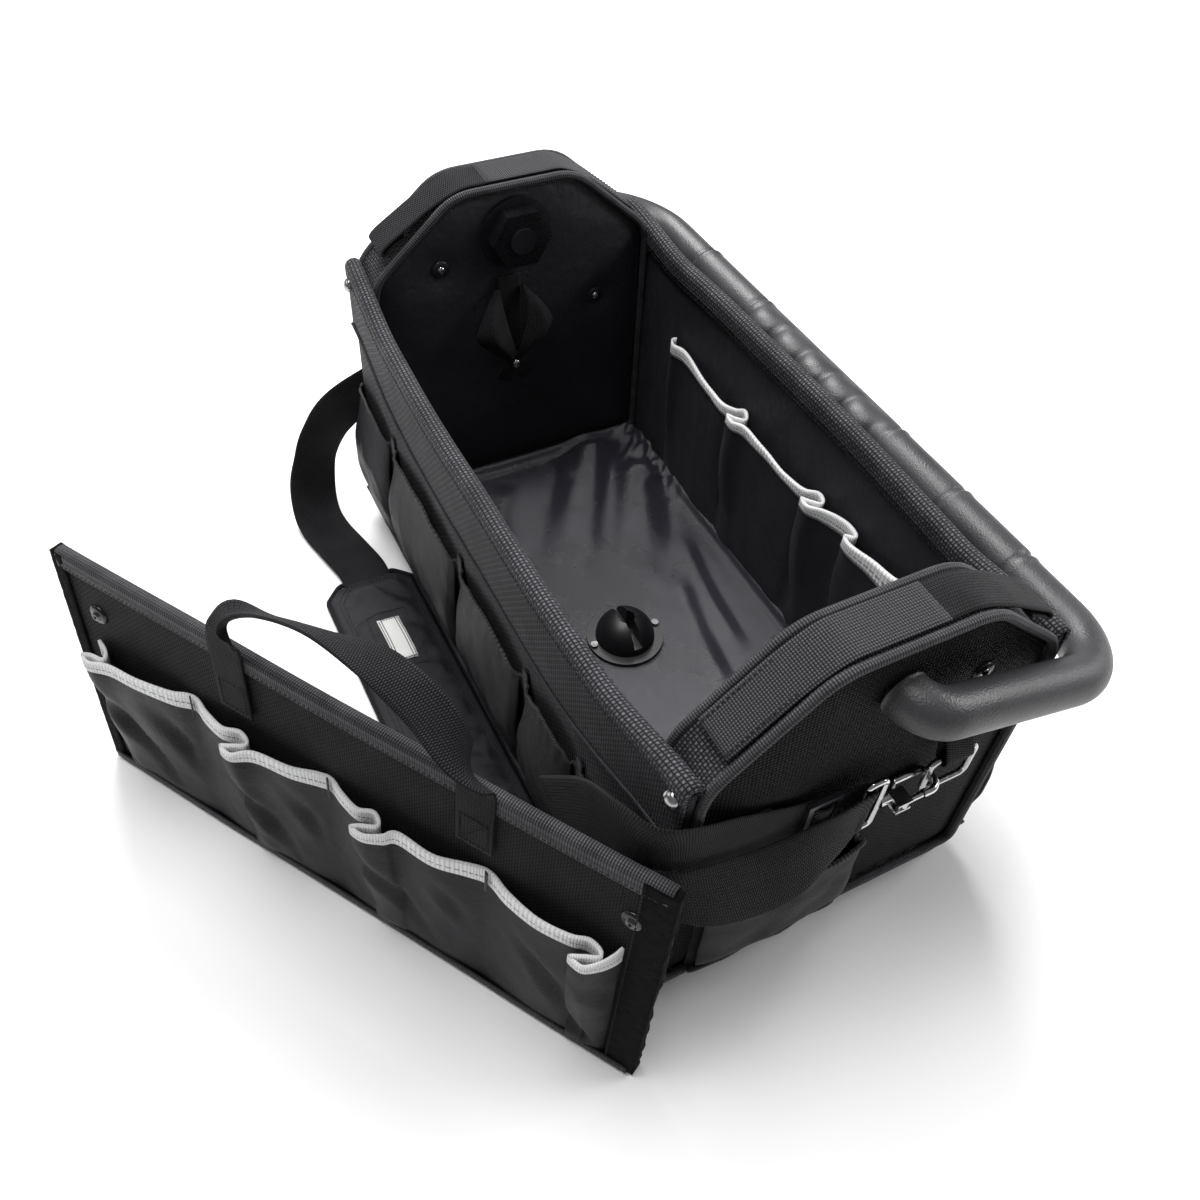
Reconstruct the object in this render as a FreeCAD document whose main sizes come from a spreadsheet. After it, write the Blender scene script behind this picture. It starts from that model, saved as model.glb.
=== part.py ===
import FreeCAD, Part
import Sketcher
import math
import os
import sys
from FreeCAD import Placement, Rotation, Vector

# Open garden tool bag with a swing handle, a lift-out pocket divider and a shoulder strap.
# Frame: origin at the centre of the base on the ground, +X towards the near end,
# -Y towards the pocket side, +Y towards the side where the handle rests, +Z up. Millimetres.

doc = FreeCAD.newDocument("garden_tool_bag")

# ---------------------------------------------------------------- driving dimensions
sheet = doc.addObject("Spreadsheet::Sheet", "Sizes")
SIZES = {
    # bag
    "bag_length": 500.0,
    "base_width": 248.0,
    "mouth_width": 240.0,
    "base_height": 20.0,
    "base_corner": 16.0,
    "side_height": 228.0,
    "end_height": 294.0,
    "end_thickness": 32.0,
    "shoulder_height": 237.0,
    "crown_width": 96.0,
    "board_thickness": 3.0,
    "skin_thickness": 2.0,
    "floor_thickness": 6.0,
    "lining_thickness": 4.0,
    "band_depth": 66.0,
    "band_thickness": 2.5,
    "gusset_thickness": 3.0,
    "piping_size": 5.0,
    # pockets
    "pocket_height": 100.0,
    "pocket_bulge": 14.0,
    "pocket_wall": 3.0,
    "pocket_seam": 6.0,
    "inner_pocket_height": 140.0,
    "inner_pocket_bulge": 11.0,
    "inner_pocket_length": 318.0,
    "end_pocket_length": 112.0,
    "end_pocket_height": 86.0,
    "elastic_height": 13.0,
    # handle
    "pivot_height": 256.0,
    "handle_tube": 28.0,
    "handle_reach": 156.0,
    "handle_span": 540.0,
    "handle_corner": 42.0,
    "handle_curl": 18.0,
    "handle_tilt": 16.3,
    "spindle_size": 20.0,
    "bore_clearance": 0.16,
    "nut_size": 48.0,
    "nut_thickness": 12.0,
    "washer_size": 56.0,
    "washer_thickness": 3.0,
    # divider
    "divider_length": 430.0,
    "divider_height": 200.0,
    "divider_thickness": 6.0,
    "divider_yaw": 32.2,
    "divider_lean": 6.0,
    "hook_strip_width": 18.0,
    "divider_pocket_height": 128.0,
    "divider_pocket_foot": 5.0,
    "divider_pocket_bulge": 14.0,
    "divider_binding_depth": 12.0,
    # fittings
    "dome_size": 46.0,
    "dome_flange_size": 60.0,
    "dome_flange_thickness": 3.0,
    "dome_channel": 7.0,
    "key_hole": 13.0,
    "tool_loop_depth": 20.0,
    "end_web_width": 26.0,
    "ring_wire": 4.0,
    "claw_wire": 5.0,
    "gate_size": 3.8,
    "gate_bore": 2.3,
    "gate_pin": 2.0,
    # strap
    "webbing_width": 40.0,
    "webbing_thickness": 2.0,
    "pad_length": 345.0,
    "pad_width": 70.0,
    "pad_thickness": 7.0,
}
for row, (alias, number) in enumerate(SIZES.items(), start=1):
    sheet.set("A%d" % row, alias.replace("_", " "))
    sheet.set("B%d" % row, str(number))
    sheet.setAlias("B%d" % row, alias)
doc.recompute()


def size(alias):
    """The present value of a driving dimension."""
    return float(sheet.get(alias))


# ---------------------------------------------------------------- local frames
BASE_TOP = size("base_height")
HALF_BASE = size("base_width") / 2
HALF_MOUTH = size("mouth_width") / 2
HALF_LENGTH = size("bag_length") / 2
WALL_RISE = size("side_height") - BASE_TOP
SIDE_LEAN = math.degrees(math.atan2(HALF_BASE - HALF_MOUTH, WALL_RISE))
WALL_HEIGHT = math.hypot(WALL_RISE, HALF_BASE - HALF_MOUTH)
WALL_THICKNESS = 2 * size("skin_thickness") + size("board_thickness")
PIVOT = Vector(0, 0, size("pivot_height"))
SEAT = 0.3

# Each side wall: local X along the wall, local Y outward, local Z up the leaning wall.
LEAN = Placement(Vector(0, HALF_BASE, BASE_TOP), Rotation(Vector(1, 0, 0), SIDE_LEAN))
SIDES = {
    "right": LEAN,
    "left": Placement(Vector(), Rotation(Vector(0, 0, 1), 180)).multiply(LEAN),
}
# Each end: local X across the end, local Y outward from the outer face, local Z up.
ENDS = {
    "near": Placement(Vector(HALF_LENGTH, 0, 0), Rotation(Vector(0, 0, 1), -90)),
    "far": Placement(Vector(-HALF_LENGTH, 0, 0), Rotation(Vector(0, 0, 1), 90)),
}
# The divider: local X along its foot, local Y towards the bag, local Z up the panel.
DIVIDER = Placement(Vector(-77, -380, 0), Rotation(Vector(0, 0, 1), size("divider_yaw")))
DIVIDER = DIVIDER.multiply(Placement(Vector(0, 0, 0.6), Rotation(Vector(1, 0, 0), -size("divider_lean"))))
# The handle: local X along the hinge, local Y along the arms.
HANDLE = Placement(PIVOT, Rotation(Vector(1, 0, 0), -size("handle_tilt")))


def at(x, y, z):
    """A plain shift."""
    return Placement(Vector(x, y, z), Rotation())


# ---------------------------------------------------------------- building helpers
nodes = []


def keep(piece, label):
    """Names a finished sub-part and lists it for export."""
    piece.Label = label
    nodes.append(piece)
    return piece


def bind(piece, **expressions):
    """Binds properties to cells of the sheet."""
    for name, expression in expressions.items():
        piece.setExpression(name, expression)


def box(name, length, width, height, place):
    """A block whose three sizes are expressions."""
    block = doc.addObject("Part::Box", name)
    bind(block, Length=length, Width=width, Height=height)
    block.Placement = place
    return block


def wedge(name, length, foot, mouth, height, place):
    """A block against local Y = 0 that is thin at its foot and thick at its mouth."""
    block = doc.addObject("Part::Wedge", name)
    block.Placement = place.multiply(Placement(Vector(), Rotation(Vector(1, 0, 0), 90)))
    bind(block, Xmin="0", Xmax=length, X2min="0", X2max=length, Ymin="0", Ymax=height,
         Zmin="-(%s)" % foot, Zmax="0", Z2min="-(%s)" % mouth, Z2max="0")
    return block


def cylinder(name, radius, height, place):
    """A round bar along local Z whose sizes are expressions."""
    bar = doc.addObject("Part::Cylinder", name)
    bind(bar, Radius=radius, Height=height)
    bar.Placement = place
    return bar


def group(name, pieces):
    """Separate solids kept together as one sub-part."""
    joined = doc.addObject("Part::Compound", name)
    joined.Links = pieces
    return joined


def fused(name, pieces):
    """Pieces welded into one."""
    joined = doc.addObject("Part::MultiFuse", name)
    joined.Shapes = pieces
    return joined


def cut(name, base, tools):
    """A base with one or more tools taken away."""
    tool = tools[0] if len(tools) == 1 else group(name + "_tools", tools)
    result = doc.addObject("Part::Cut", name)
    result.Base = base
    result.Tool = tool
    return result


def origin_plane(body, role):
    """One of a body's own origin planes."""
    return next(plane for plane in body.Origin.OriginFeatures if plane.Role == role)


def sketch_on(body, role, name):
    """An empty sketch on one of the body's origin planes."""
    sketch = body.newObject("Sketcher::SketchObject", name)
    sketch.AttachmentSupport = [(origin_plane(body, role), "")]
    sketch.MapMode = "FlatFace"
    return sketch


def polygon(sketch, corners):
    """A closed outline; each corner is a pair of expressions measured from the origin."""
    count = len(corners)
    ring = [Vector(100 * math.cos(2 * math.pi * i / count), 100 * math.sin(2 * math.pi * i / count), 0)
            for i in range(count)]
    for i in range(count):
        sketch.addGeometry(Part.LineSegment(ring[i], ring[(i + 1) % count]), False)
    for i in range(count):
        sketch.addConstraint(Sketcher.Constraint("Coincident", i, 2, (i + 1) % count, 1))
    for i, (across, up) in enumerate(corners):
        for kind, start, expression in (("DistanceX", ring[i].x, across), ("DistanceY", ring[i].y, up)):
            number = sketch.addConstraint(Sketcher.Constraint(kind, -1, 1, i, 1, start))
            sketch.setExpression("Constraints[%d]" % number, expression)


def circle(sketch, across, up, radius):
    """A circle whose centre and radius are expressions."""
    number = sketch.addGeometry(Part.Circle(Vector(1, 1, 0), Vector(0, 0, 1), 5), False)
    wanted = (("DistanceX", (-1, 1, number, 3), across), ("DistanceY", (-1, 1, number, 3), up))
    for kind, where, expression in wanted:
        row = sketch.addConstraint(Sketcher.Constraint(kind, *where, 1.0))
        sketch.setExpression("Constraints[%d]" % row, expression)
    row = sketch.addConstraint(Sketcher.Constraint("Radius", number, 5.0))
    sketch.setExpression("Constraints[%d]" % row, radius)


def plate(name, corners, thickness, place, holes=()):
    """A flat piece standing in local XZ, its thickness along local +Y."""
    body = doc.addObject("PartDesign::Body", name)
    outline = sketch_on(body, "XZ_Plane", name + "_outline")
    polygon(outline, corners)
    for hole in holes:
        circle(outline, *hole)
    pad = body.newObject("PartDesign::Pad", name + "_pad")
    pad.Profile = outline
    pad.Reversed = True
    pad.setExpression("Length", thickness)
    body.Tip = pad
    outline.Visibility = False
    body.Placement = place
    return body


def round_corners(body, feature, direction, radius):
    """Rounds the outer edges of a pad that run along one direction."""
    names = []
    for number, edge in enumerate(feature.Shape.Edges, start=1):
        if edge.Curve.TypeId != "Part::GeomLine":
            continue
        along = edge.tangentAt(edge.FirstParameter)
        if abs(abs(along.dot(direction)) - 1) < 1e-6:
            names.append("Edge%d" % number)
    fillet = body.newObject("PartDesign::Fillet", body.Name + "_fillet")
    fillet.Base = (feature, names)
    fillet.setExpression("Radius", radius)
    body.Tip = fillet


def rounded_path(points, radii, closed=False):
    """Straight runs joined by tangent arcs, as one wire."""
    edges = []
    count = len(points)
    inner = range(count) if closed else range(1, count - 1)
    entry = {}
    leave = {}
    for i in inner:
        before, here, after = points[i - 1], points[i], points[(i + 1) % count]
        radius = radii[i] if isinstance(radii, (list, tuple)) else radii
        back = (before - here).normalize()
        ahead = (after - here).normalize()
        half = math.acos(max(-1, min(1, back.dot(ahead)))) / 2
        set_back = radius / math.tan(half)
        centre = here + (back + ahead).normalize() * (radius / math.sin(half))
        entry[i] = here + back * set_back
        leave[i] = here + ahead * set_back
        middle = centre + (here - centre).normalize() * radius
        entry[i, "arc"] = (entry[i], middle, leave[i])
    if closed:
        for i in range(count):
            edges.append(Part.Arc(*entry[i, "arc"]).toShape())
            edges.append(Part.LineSegment(leave[i], entry[(i + 1) % count]).toShape())
    else:
        start = points[0]
        for i in inner:
            edges.append(Part.LineSegment(start, entry[i]).toShape())
            edges.append(Part.Arc(*entry[i, "arc"]).toShape())
            start = leave[i]
        edges.append(Part.LineSegment(start, points[-1]).toShape())
    return Part.Wire(edges)


def rod_along(wire, diameter):
    """A round rod swept along a wire."""
    first = wire.Edges[0]
    start = first.valueAt(first.FirstParameter)
    direction = first.tangentAt(first.FirstParameter)
    section = Part.Wire(Part.makeCircle(diameter / 2, start, direction))
    return wire.makePipeShell([section], True, False)


def ribbon(stations, width, thickness):
    """A flat strap through stations of (centre, direction across its width)."""
    sections = []
    last = len(stations) - 1
    for i, (centre, across) in enumerate(stations):
        before = stations[max(i - 1, 0)][0]
        after = stations[min(i + 1, last)][0]
        along = (after - before).normalize()
        across = (across - along * across.dot(along)).normalize()
        normal = along.cross(across)
        half_across = across * (width / 2)
        half_normal = normal * (thickness / 2)
        ring = [centre + half_across + half_normal, centre - half_across + half_normal,
                centre - half_across - half_normal, centre + half_across - half_normal]
        sections.append(Part.makePolygon(ring + ring[:1]))
    return Part.makeLoft(sections, True, True)


def freeform(name, shape, place=None):
    """A piece whose shape follows a free path."""
    piece = doc.addObject("Part::Feature", name)
    piece.Shape = shape
    if place:
        piece.Placement = place
    return piece


# ---------------------------------------------------------------- base and floor
def build_base():
    body = doc.addObject("PartDesign::Body", "base_tray")
    outline = sketch_on(body, "XY_Plane", "base_outline")
    long_half, wide_half = "Sizes.bag_length / 2", "Sizes.base_width / 2"
    polygon(outline, [("-" + long_half, "-" + wide_half), (long_half, "-" + wide_half),
                      (long_half, wide_half), ("-" + long_half, wide_half)])
    pad = body.newObject("PartDesign::Pad", "base_pad")
    pad.Profile = outline
    pad.setExpression("Length", "Sizes.base_height")
    body.Tip = pad
    doc.recompute()
    round_corners(body, pad, Vector(0, 0, 1), "Sizes.base_corner")
    keep(body, "base_tray")

    half_inside = HALF_LENGTH - size("end_thickness")
    half_floor = HALF_BASE - WALL_THICKNESS
    inside = "Sizes.bag_length - 2 * Sizes.end_thickness"
    across = "Sizes.base_width - 2 * Sizes.board_thickness - 4 * Sizes.skin_thickness - 1"
    place = at(-half_inside, -half_floor + 0.5, BASE_TOP)
    keep(box("floor_board", inside, across, "Sizes.floor_thickness", place), "floor_board")
    place = at(-half_inside, -half_floor + 0.5, BASE_TOP + size("floor_thickness"))
    keep(box("floor_lining", inside, across, "Sizes.lining_thickness", place), "floor_lining")


FLOOR = BASE_TOP + size("floor_thickness") + size("lining_thickness")


# ---------------------------------------------------------------- side walls
def build_side(side, place):
    """Outer skin, stiff board, lining and folded band of one long wall."""
    height = "Sizes.side_height - Sizes.base_height - Sizes.band_thickness - %g" % SEAT
    layers = (("side_lining", "Sizes.skin_thickness", -WALL_THICKNESS),
              ("side_board", "Sizes.board_thickness", -WALL_THICKNESS + size("skin_thickness")),
              ("side_skin", "Sizes.skin_thickness", -size("skin_thickness")))
    for kind, thickness, depth in layers:
        name = "%s_%s" % (kind, side)
        keep(box(name, "Sizes.bag_length", thickness, height,
                 place.multiply(at(-HALF_LENGTH, depth, SEAT))), name)

    # The band is an angle strip: it hangs down the outside and caps the top of the wall.
    name = "side_band_" + side
    body = doc.addObject("PartDesign::Body", name)
    profile = sketch_on(body, "YZ_Plane", name + "_profile")
    top = "Sizes.side_height - Sizes.base_height"
    under = top + " - Sizes.band_thickness"
    foot = top + " - Sizes.band_depth"
    wall = "-2 * Sizes.skin_thickness - Sizes.board_thickness"
    polygon(profile, [(wall, under), ("0", under), ("0", foot), ("Sizes.band_thickness", foot),
                      ("Sizes.band_thickness", top), (wall, top)])
    pad = body.newObject("PartDesign::Pad", name + "_pad")
    pad.Profile = profile
    pad.Midplane = True
    pad.setExpression("Length", "Sizes.bag_length")
    body.Tip = pad
    body.Placement = place
    keep(body, name)


def pocket_row(name, place, length, height, bulge, count, foot=0.0):
    """A row of open-topped pockets: one block with its pouches taken out."""
    long_side, tall, deep = size(length), size(height), size(bulge)
    wall, seam = size("pocket_wall"), size("pocket_seam")
    outer = box(name + "_block", "Sizes." + length, "Sizes." + bulge, "Sizes." + height,
                place.multiply(at(-long_side / 2, 0, foot)))
    pouch_length = (long_side - seam * (count + 1)) / count
    pouches = []
    for i in range(count):
        left = -long_side / 2 + seam + i * (pouch_length + seam)
        pouch = box("%s_pouch%d" % (name, i + 1),
                    "(Sizes.%s - Sizes.pocket_seam * %d) / %d" % (length, count + 1, count),
                    "Sizes.%s - Sizes.pocket_wall + 1" % bulge, "Sizes.%s" % height,
                    place.multiply(at(left, -1, foot + wall)))
        pouches.append(pouch)
    return keep(cut(name, outer, pouches), name), pouch_length


def build_side_pockets(side, place):
    pocket_row("outer_pockets_" + side, place, "bag_length", "pocket_height", "pocket_bulge", 5)
    turned = place.multiply(Placement(Vector(0, -WALL_THICKNESS, 0), Rotation(Vector(0, 0, 1), 180)))
    foot = FLOOR - BASE_TOP + 0.5
    pocket_row("inner_pockets_" + side, turned, "inner_pocket_length", "inner_pocket_height",
               "inner_pocket_bulge", 3, foot)
    lift = foot + size("inner_pocket_height") - size("elastic_height")
    return box("inner_elastic_" + side, "Sizes.inner_pocket_length", "Sizes.skin_thickness",
               "Sizes.elastic_height",
               turned.multiply(at(-size("inner_pocket_length") / 2, size("inner_pocket_bulge"), lift)))


# ---------------------------------------------------------------- end panels
def end_outline(inset):
    """Outline of an end panel, drawn in by an inset: a house shape with a flat ridge."""
    side = "(Sizes.mouth_width / 2 - 2 * Sizes.skin_thickness - Sizes.board_thickness - %s)" % inset
    ridge = "(Sizes.crown_width / 2 - 0.38 * %s)" % inset
    shoulder = "Sizes.shoulder_height - 0.45 * %s" % inset
    return [("-" + side, "Sizes.base_height"), (side, "Sizes.base_height"), (side, shoulder),
            (ridge, "Sizes.end_height - %s" % inset), ("-" + ridge, "Sizes.end_height - %s" % inset),
            ("-" + side, shoulder)]


def pivot_hole():
    """The bore for the handle's spindle."""
    return [("0", "Sizes.pivot_height", "Sizes.spindle_size / 2 + Sizes.bore_clearance / 2")]


def build_end(end, place):
    """Core, two faces, gusset, piping and the webbing over the top of one end panel."""
    thick, skin = size("end_thickness"), size("skin_thickness")
    inset = "Sizes.gusset_thickness"
    keep(plate("end_core_" + end, end_outline(inset), "Sizes.end_thickness - 2 * Sizes.skin_thickness",
               place.multiply(at(0, -thick + skin, 0)), pivot_hole()), "end_core_" + end)
    keep(plate("end_outer_face_" + end, end_outline("0"), "Sizes.skin_thickness",
               place.multiply(at(0, -skin, 0)), pivot_hole()), "end_outer_face_" + end)
    keep(plate("end_inner_face_" + end, end_outline("0"), "Sizes.skin_thickness",
               place.multiply(at(0, -thick, 0)), pivot_hole()), "end_inner_face_" + end)

    width = "Sizes.end_thickness - 2 * Sizes.skin_thickness"
    middle = place.multiply(at(0, -thick + skin, 0))
    outer = plate("end_gusset_%s_blank" % end, end_outline("0"), width, middle)
    inner = plate("end_gusset_%s_inside" % end, end_outline(inset), width, middle)
    keep(cut("end_gusset_" + end, outer, [inner]), "end_gusset_" + end)

    half = HALF_MOUTH - WALL_THICKNESS + 1.0
    ridge = size("crown_width") / 2
    rise = [Vector(-half, 0, size("side_height") + 3.5), Vector(-half, 0, size("shoulder_height")),
            Vector(-ridge, 0, size("end_height")), Vector(ridge, 0, size("end_height")),
            Vector(half, 0, size("shoulder_height")), Vector(half, 0, size("side_height") + 3.5)]
    cords = []
    radius = size("piping_size") / 2
    for depth in (radius, -thick - radius):
        wire = rounded_path([p + Vector(0, depth, -radius) for p in rise], 4.0)
        cords.append(rod_along(wire, 2 * radius))
    keep(freeform("end_piping_" + end, Part.makeCompound(cords), place), "end_piping_" + end)


def build_top_webbing(end, place):
    """Webbing along the top of an end panel, with a stiff folded tab standing off one shoulder."""
    gap = size("webbing_thickness") / 2 + 0.3
    half = HALF_MOUTH - WALL_THICKNESS
    slope = Vector(half - size("crown_width") / 2, 0, size("end_height") - size("shoulder_height"))
    slope_length = slope.Length
    slope.normalize()
    lift = Vector(-slope.z, 0, slope.x) * gap
    corner = Vector(-size("crown_width") / 2, 0, size("end_height"))
    far_corner = Vector(size("crown_width") / 2, 0, size("end_height"))
    down = Vector(slope.x, 0, -slope.z)
    stations = [corner - slope * (0.8 * slope_length) + lift,
                corner - slope * 9 + lift,
                corner + Vector(-0.4, 0, 1) * (gap + 0.8),
                corner + Vector(9, 0, gap),
                far_corner + Vector(-9, 0, gap),
                far_corner + Vector(0, 0, gap + 0.8),
                far_corner + down * 10 + Vector(0, 0, gap + 3.0),
                far_corner + down * (0.72 * slope_length) + Vector(slope.z, 0, slope.x) * 9]
    # The flat end is sewn on one shoulder, and the lifted end stands off the other.
    run = [(Vector(-point.x, point.y, point.z), Vector(0, 1, 0)) for point in stations]
    shape = ribbon(run, size("end_web_width"), size("webbing_thickness"))
    name = "end_webbing_" + end
    keep(freeform(name, shape, place.multiply(at(0, -size("end_thickness") / 2, 0))), name)


def build_end_pockets(end, place):
    pocket_row("end_pocket_" + end, place.multiply(at(42, 0, 0)), "end_pocket_length",
               "end_pocket_height", "pocket_bulge", 1, BASE_TOP + 2)


# ---------------------------------------------------------------- rivets and snaps
def stud(name, place, diameter, height=2.0):
    """A low round head standing out along local Y."""
    turned = place.multiply(Placement(Vector(), Rotation(Vector(1, 0, 0), -90)))
    return cylinder(name, "%g" % (diameter / 2), "%g" % height, turned)


def build_rivets():
    corners = []
    for side, place in SIDES.items():
        for end in (-1, 1):
            spot = place.multiply(at(end * (HALF_LENGTH - 8), size("band_thickness"), WALL_HEIGHT - 9))
            corners.append(stud("corner_rivet_%s_%d" % (side, end + 2), spot, 8.5))
    keep(group("corner_rivets", corners), "corner_rivets")

    heads = []
    inside = Placement(Vector(0, -size("end_thickness"), 0), Rotation(Vector(0, 0, 1), 180))
    for end, place in ENDS.items():
        for number, (across, up) in enumerate(((-60, 238), (70, 184)), start=1):
            outer = place.multiply(at(across, 0, up))
            inner = place.multiply(inside).multiply(at(-across, 0, up))
            heads.append(stud("snap_%s_out%d" % (end, number), outer, 12, 2.5))
            heads.append(stud("snap_%s_in%d" % (end, number), inner, 12, 2.5))
    keep(group("panel_snaps", heads), "panel_snaps")


# ---------------------------------------------------------------- dome socket on the floor
def build_dome():
    centre = Vector(4, -9, FLOOR)
    rim, lip = size("dome_flange_size") / 2, size("dome_flange_thickness")
    flange = cylinder("dome_flange", "Sizes.dome_flange_size / 2", "Sizes.dome_flange_thickness",
                      at(centre.x, centre.y, centre.z))
    dome = doc.addObject("Part::Sphere", "dome_ball")
    bind(dome, Radius="Sizes.dome_size / 2")
    dome.Angle1 = 0
    dome.Placement = at(centre.x, centre.y, centre.z + lip - 1)
    body = fused("dome_body", [flange, dome])
    channel = size("dome_channel")
    slots = [box("dome_channel", "Sizes.dome_flange_size", "Sizes.dome_channel", "Sizes.base_height",
                 at(centre.x - rim, centre.y - channel / 2, centre.z + 3 * lip)),
             cylinder("dome_key_hole", "Sizes.key_hole / 2", "Sizes.dome_size",
                      at(centre.x, centre.y, centre.z + lip + 2))]
    keep(cut("dome_socket", body, slots), "dome_socket")
    # One screw each side, halfway between the dome and the rim of its flange.
    reach = (size("dome_size") / 2 + rim) / 2 + 0.2
    screws = [cylinder("dome_screw_%d" % i, "Sizes.dome_channel * 0.4", "2",
                       at(centre.x, centre.y + y, centre.z + lip))
              for i, y in enumerate((-reach, reach))]
    keep(group("dome_screws", screws), "dome_screws")


# ---------------------------------------------------------------- tool loop on the far inner face
def band(outline, radius, thickness, depth, direction):
    """A closed strap loop: an outline thickened both ways and given a depth."""
    wire = rounded_path(outline, radius, closed=True)
    outer = wire.makeOffset2D(thickness / 2)
    inner = wire.makeOffset2D(-thickness / 2)
    return Part.Face(outer).cut(Part.Face(inner)).extrude(direction * depth)


def build_tool_loop():
    """A heart-shaped loop of webbing standing off the panel, pinched at a rivet, with two tails."""
    face = -HALF_LENGTH + size("end_thickness") + 0.4
    depth, thick = size("tool_loop_depth"), size("webbing_thickness")
    out = Vector(1, 0, 0)
    outline = [Vector(face, y, z) for y, z in ((-12, 150), (16, 172), (6, 212), (-22, 214), (-42, 186))]
    loop = band(outline, 5.0, thick, depth, out)
    tails = []
    for lean, start in ((18, -13.5), (-18, -12.5)):
        tail = Part.makeBox(depth, thick, 13, Vector(face, start, 136))
        tail.rotate(Vector(face, start, 149), out, lean)
        tails.append(tail)
    keep(freeform("tool_loop", loop.fuse(tails)), "tool_loop")


# ---------------------------------------------------------------- swing handle
def build_handle_tube():
    """One bent tube: curled ends at the hinge, two arms and the grip."""
    half_span = size("handle_span") / 2
    reach, corner, curl = size("handle_reach"), size("handle_corner"), size("handle_curl")
    body = doc.addObject("PartDesign::Body", "handle_tube")
    path = sketch_on(body, "XY_Plane", "handle_path")
    bends = [(half_span - curl, curl, curl, -90), (half_span - corner, reach - corner, corner, 0),
             (corner - half_span, reach - corner, corner, 90), (curl - half_span, curl, curl, 180)]
    arcs = [Part.ArcOfCircle(Part.Circle(Vector(x, y, 0), Vector(0, 0, 1), radius),
                             math.radians(start), math.radians(start + 90))
            for x, y, radius, start in bends]
    for number, arc in enumerate(arcs):
        path.addGeometry(arc, False)
        if number < 3:
            path.addGeometry(Part.LineSegment(arc.EndPoint, arcs[number + 1].StartPoint), False)
    for number in range(6):
        path.addConstraint(Sketcher.Constraint("Tangent", number, 2, number + 1, 1))
    path.addConstraint(Sketcher.Constraint("Vertical", 1))
    path.addConstraint(Sketcher.Constraint("Horizontal", 3))
    path.addConstraint(Sketcher.Constraint("Vertical", 5))
    tip = "Sizes.handle_span / 2 - Sizes.handle_curl"
    sized = [(("Radius", 0), curl, "Sizes.handle_curl"), (("Radius", 2), corner, "Sizes.handle_corner"),
             (("Radius", 4), corner, "Sizes.handle_corner"), (("Radius", 6), curl, "Sizes.handle_curl"),
             (("DistanceX", -1, 1, 1, 1), half_span, "Sizes.handle_span / 2"),
             (("DistanceX", -1, 1, 5, 1), -half_span, "-Sizes.handle_span / 2"),
             (("DistanceY", -1, 1, 3, 1), reach, "Sizes.handle_reach"),
             (("DistanceX", -1, 1, 0, 1), half_span - curl, tip),
             (("DistanceY", -1, 1, 0, 1), 0.0, "0"),
             (("DistanceX", -1, 1, 6, 2), curl - half_span, "-(%s)" % tip),
             (("DistanceY", -1, 1, 6, 2), 0.0, "0")]
    for kind, number, expression in sized:
        row = path.addConstraint(Sketcher.Constraint(*kind, number))
        path.setExpression("Constraints[%d]" % row, expression)
    section = sketch_on(body, "YZ_Plane", "handle_section")
    section.setExpression("AttachmentOffset.Base.z", tip)
    circle(section, "0", "0", "Sizes.handle_tube / 2")
    tube = body.newObject("PartDesign::AdditivePipe", "handle_pipe")
    tube.Profile = section
    tube.Spine = (path, ["Edge%d" % number for number in range(1, 8)])
    body.Tip = tube
    body.Placement = HANDLE
    keep(body, "handle_tube")


def build_pivots():
    """Spindles through both end panels, with the washers and large nuts on the inside."""
    face = -size("end_thickness")
    inward = Rotation(Vector(1, 0, 0), 90)
    spindles = []
    for end, place in ENDS.items():
        start = face - size("washer_thickness") - size("nut_thickness") - 2
        spot = place.multiply(Placement(Vector(0, start, size("pivot_height")),
                                        Rotation(Vector(1, 0, 0), -90)))
        length = "Sizes.end_thickness + Sizes.washer_thickness + Sizes.nut_thickness + 4"
        spindles.append(cylinder("spindle_" + end, "Sizes.spindle_size / 2", length, spot))

        spot = place.multiply(Placement(Vector(0, face - size("washer_thickness") - 0.3,
                                               size("pivot_height")), inward))
        blank = doc.addObject("Part::Prism", "nut_%s_blank" % end)
        blank.Polygon = 6
        bind(blank, Circumradius="Sizes.nut_size / 2", Height="Sizes.nut_thickness")
        blank.Placement = spot
        hole = cylinder("nut_%s_hole" % end, "Sizes.spindle_size / 2", "Sizes.nut_thickness + 2",
                        spot.multiply(at(0, 0, -1)))
        keep(cut("pivot_nut_" + end, blank, [hole]), "pivot_nut_" + end)

        spot = place.multiply(Placement(Vector(0, face, size("pivot_height")), inward))
        disc = cylinder("washer_%s_disc" % end, "Sizes.washer_size / 2", "Sizes.washer_thickness", spot)
        hole = cylinder("washer_%s_hole" % end, "Sizes.spindle_size / 2 + Sizes.bore_clearance / 2",
                        "Sizes.washer_thickness + 2", spot.multiply(at(0, 0, -1)))
        keep(cut("pivot_washer_" + end, disc, [hole]), "pivot_washer_" + end)
    keep(group("handle_spindles", spindles), "handle_spindles")


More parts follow.
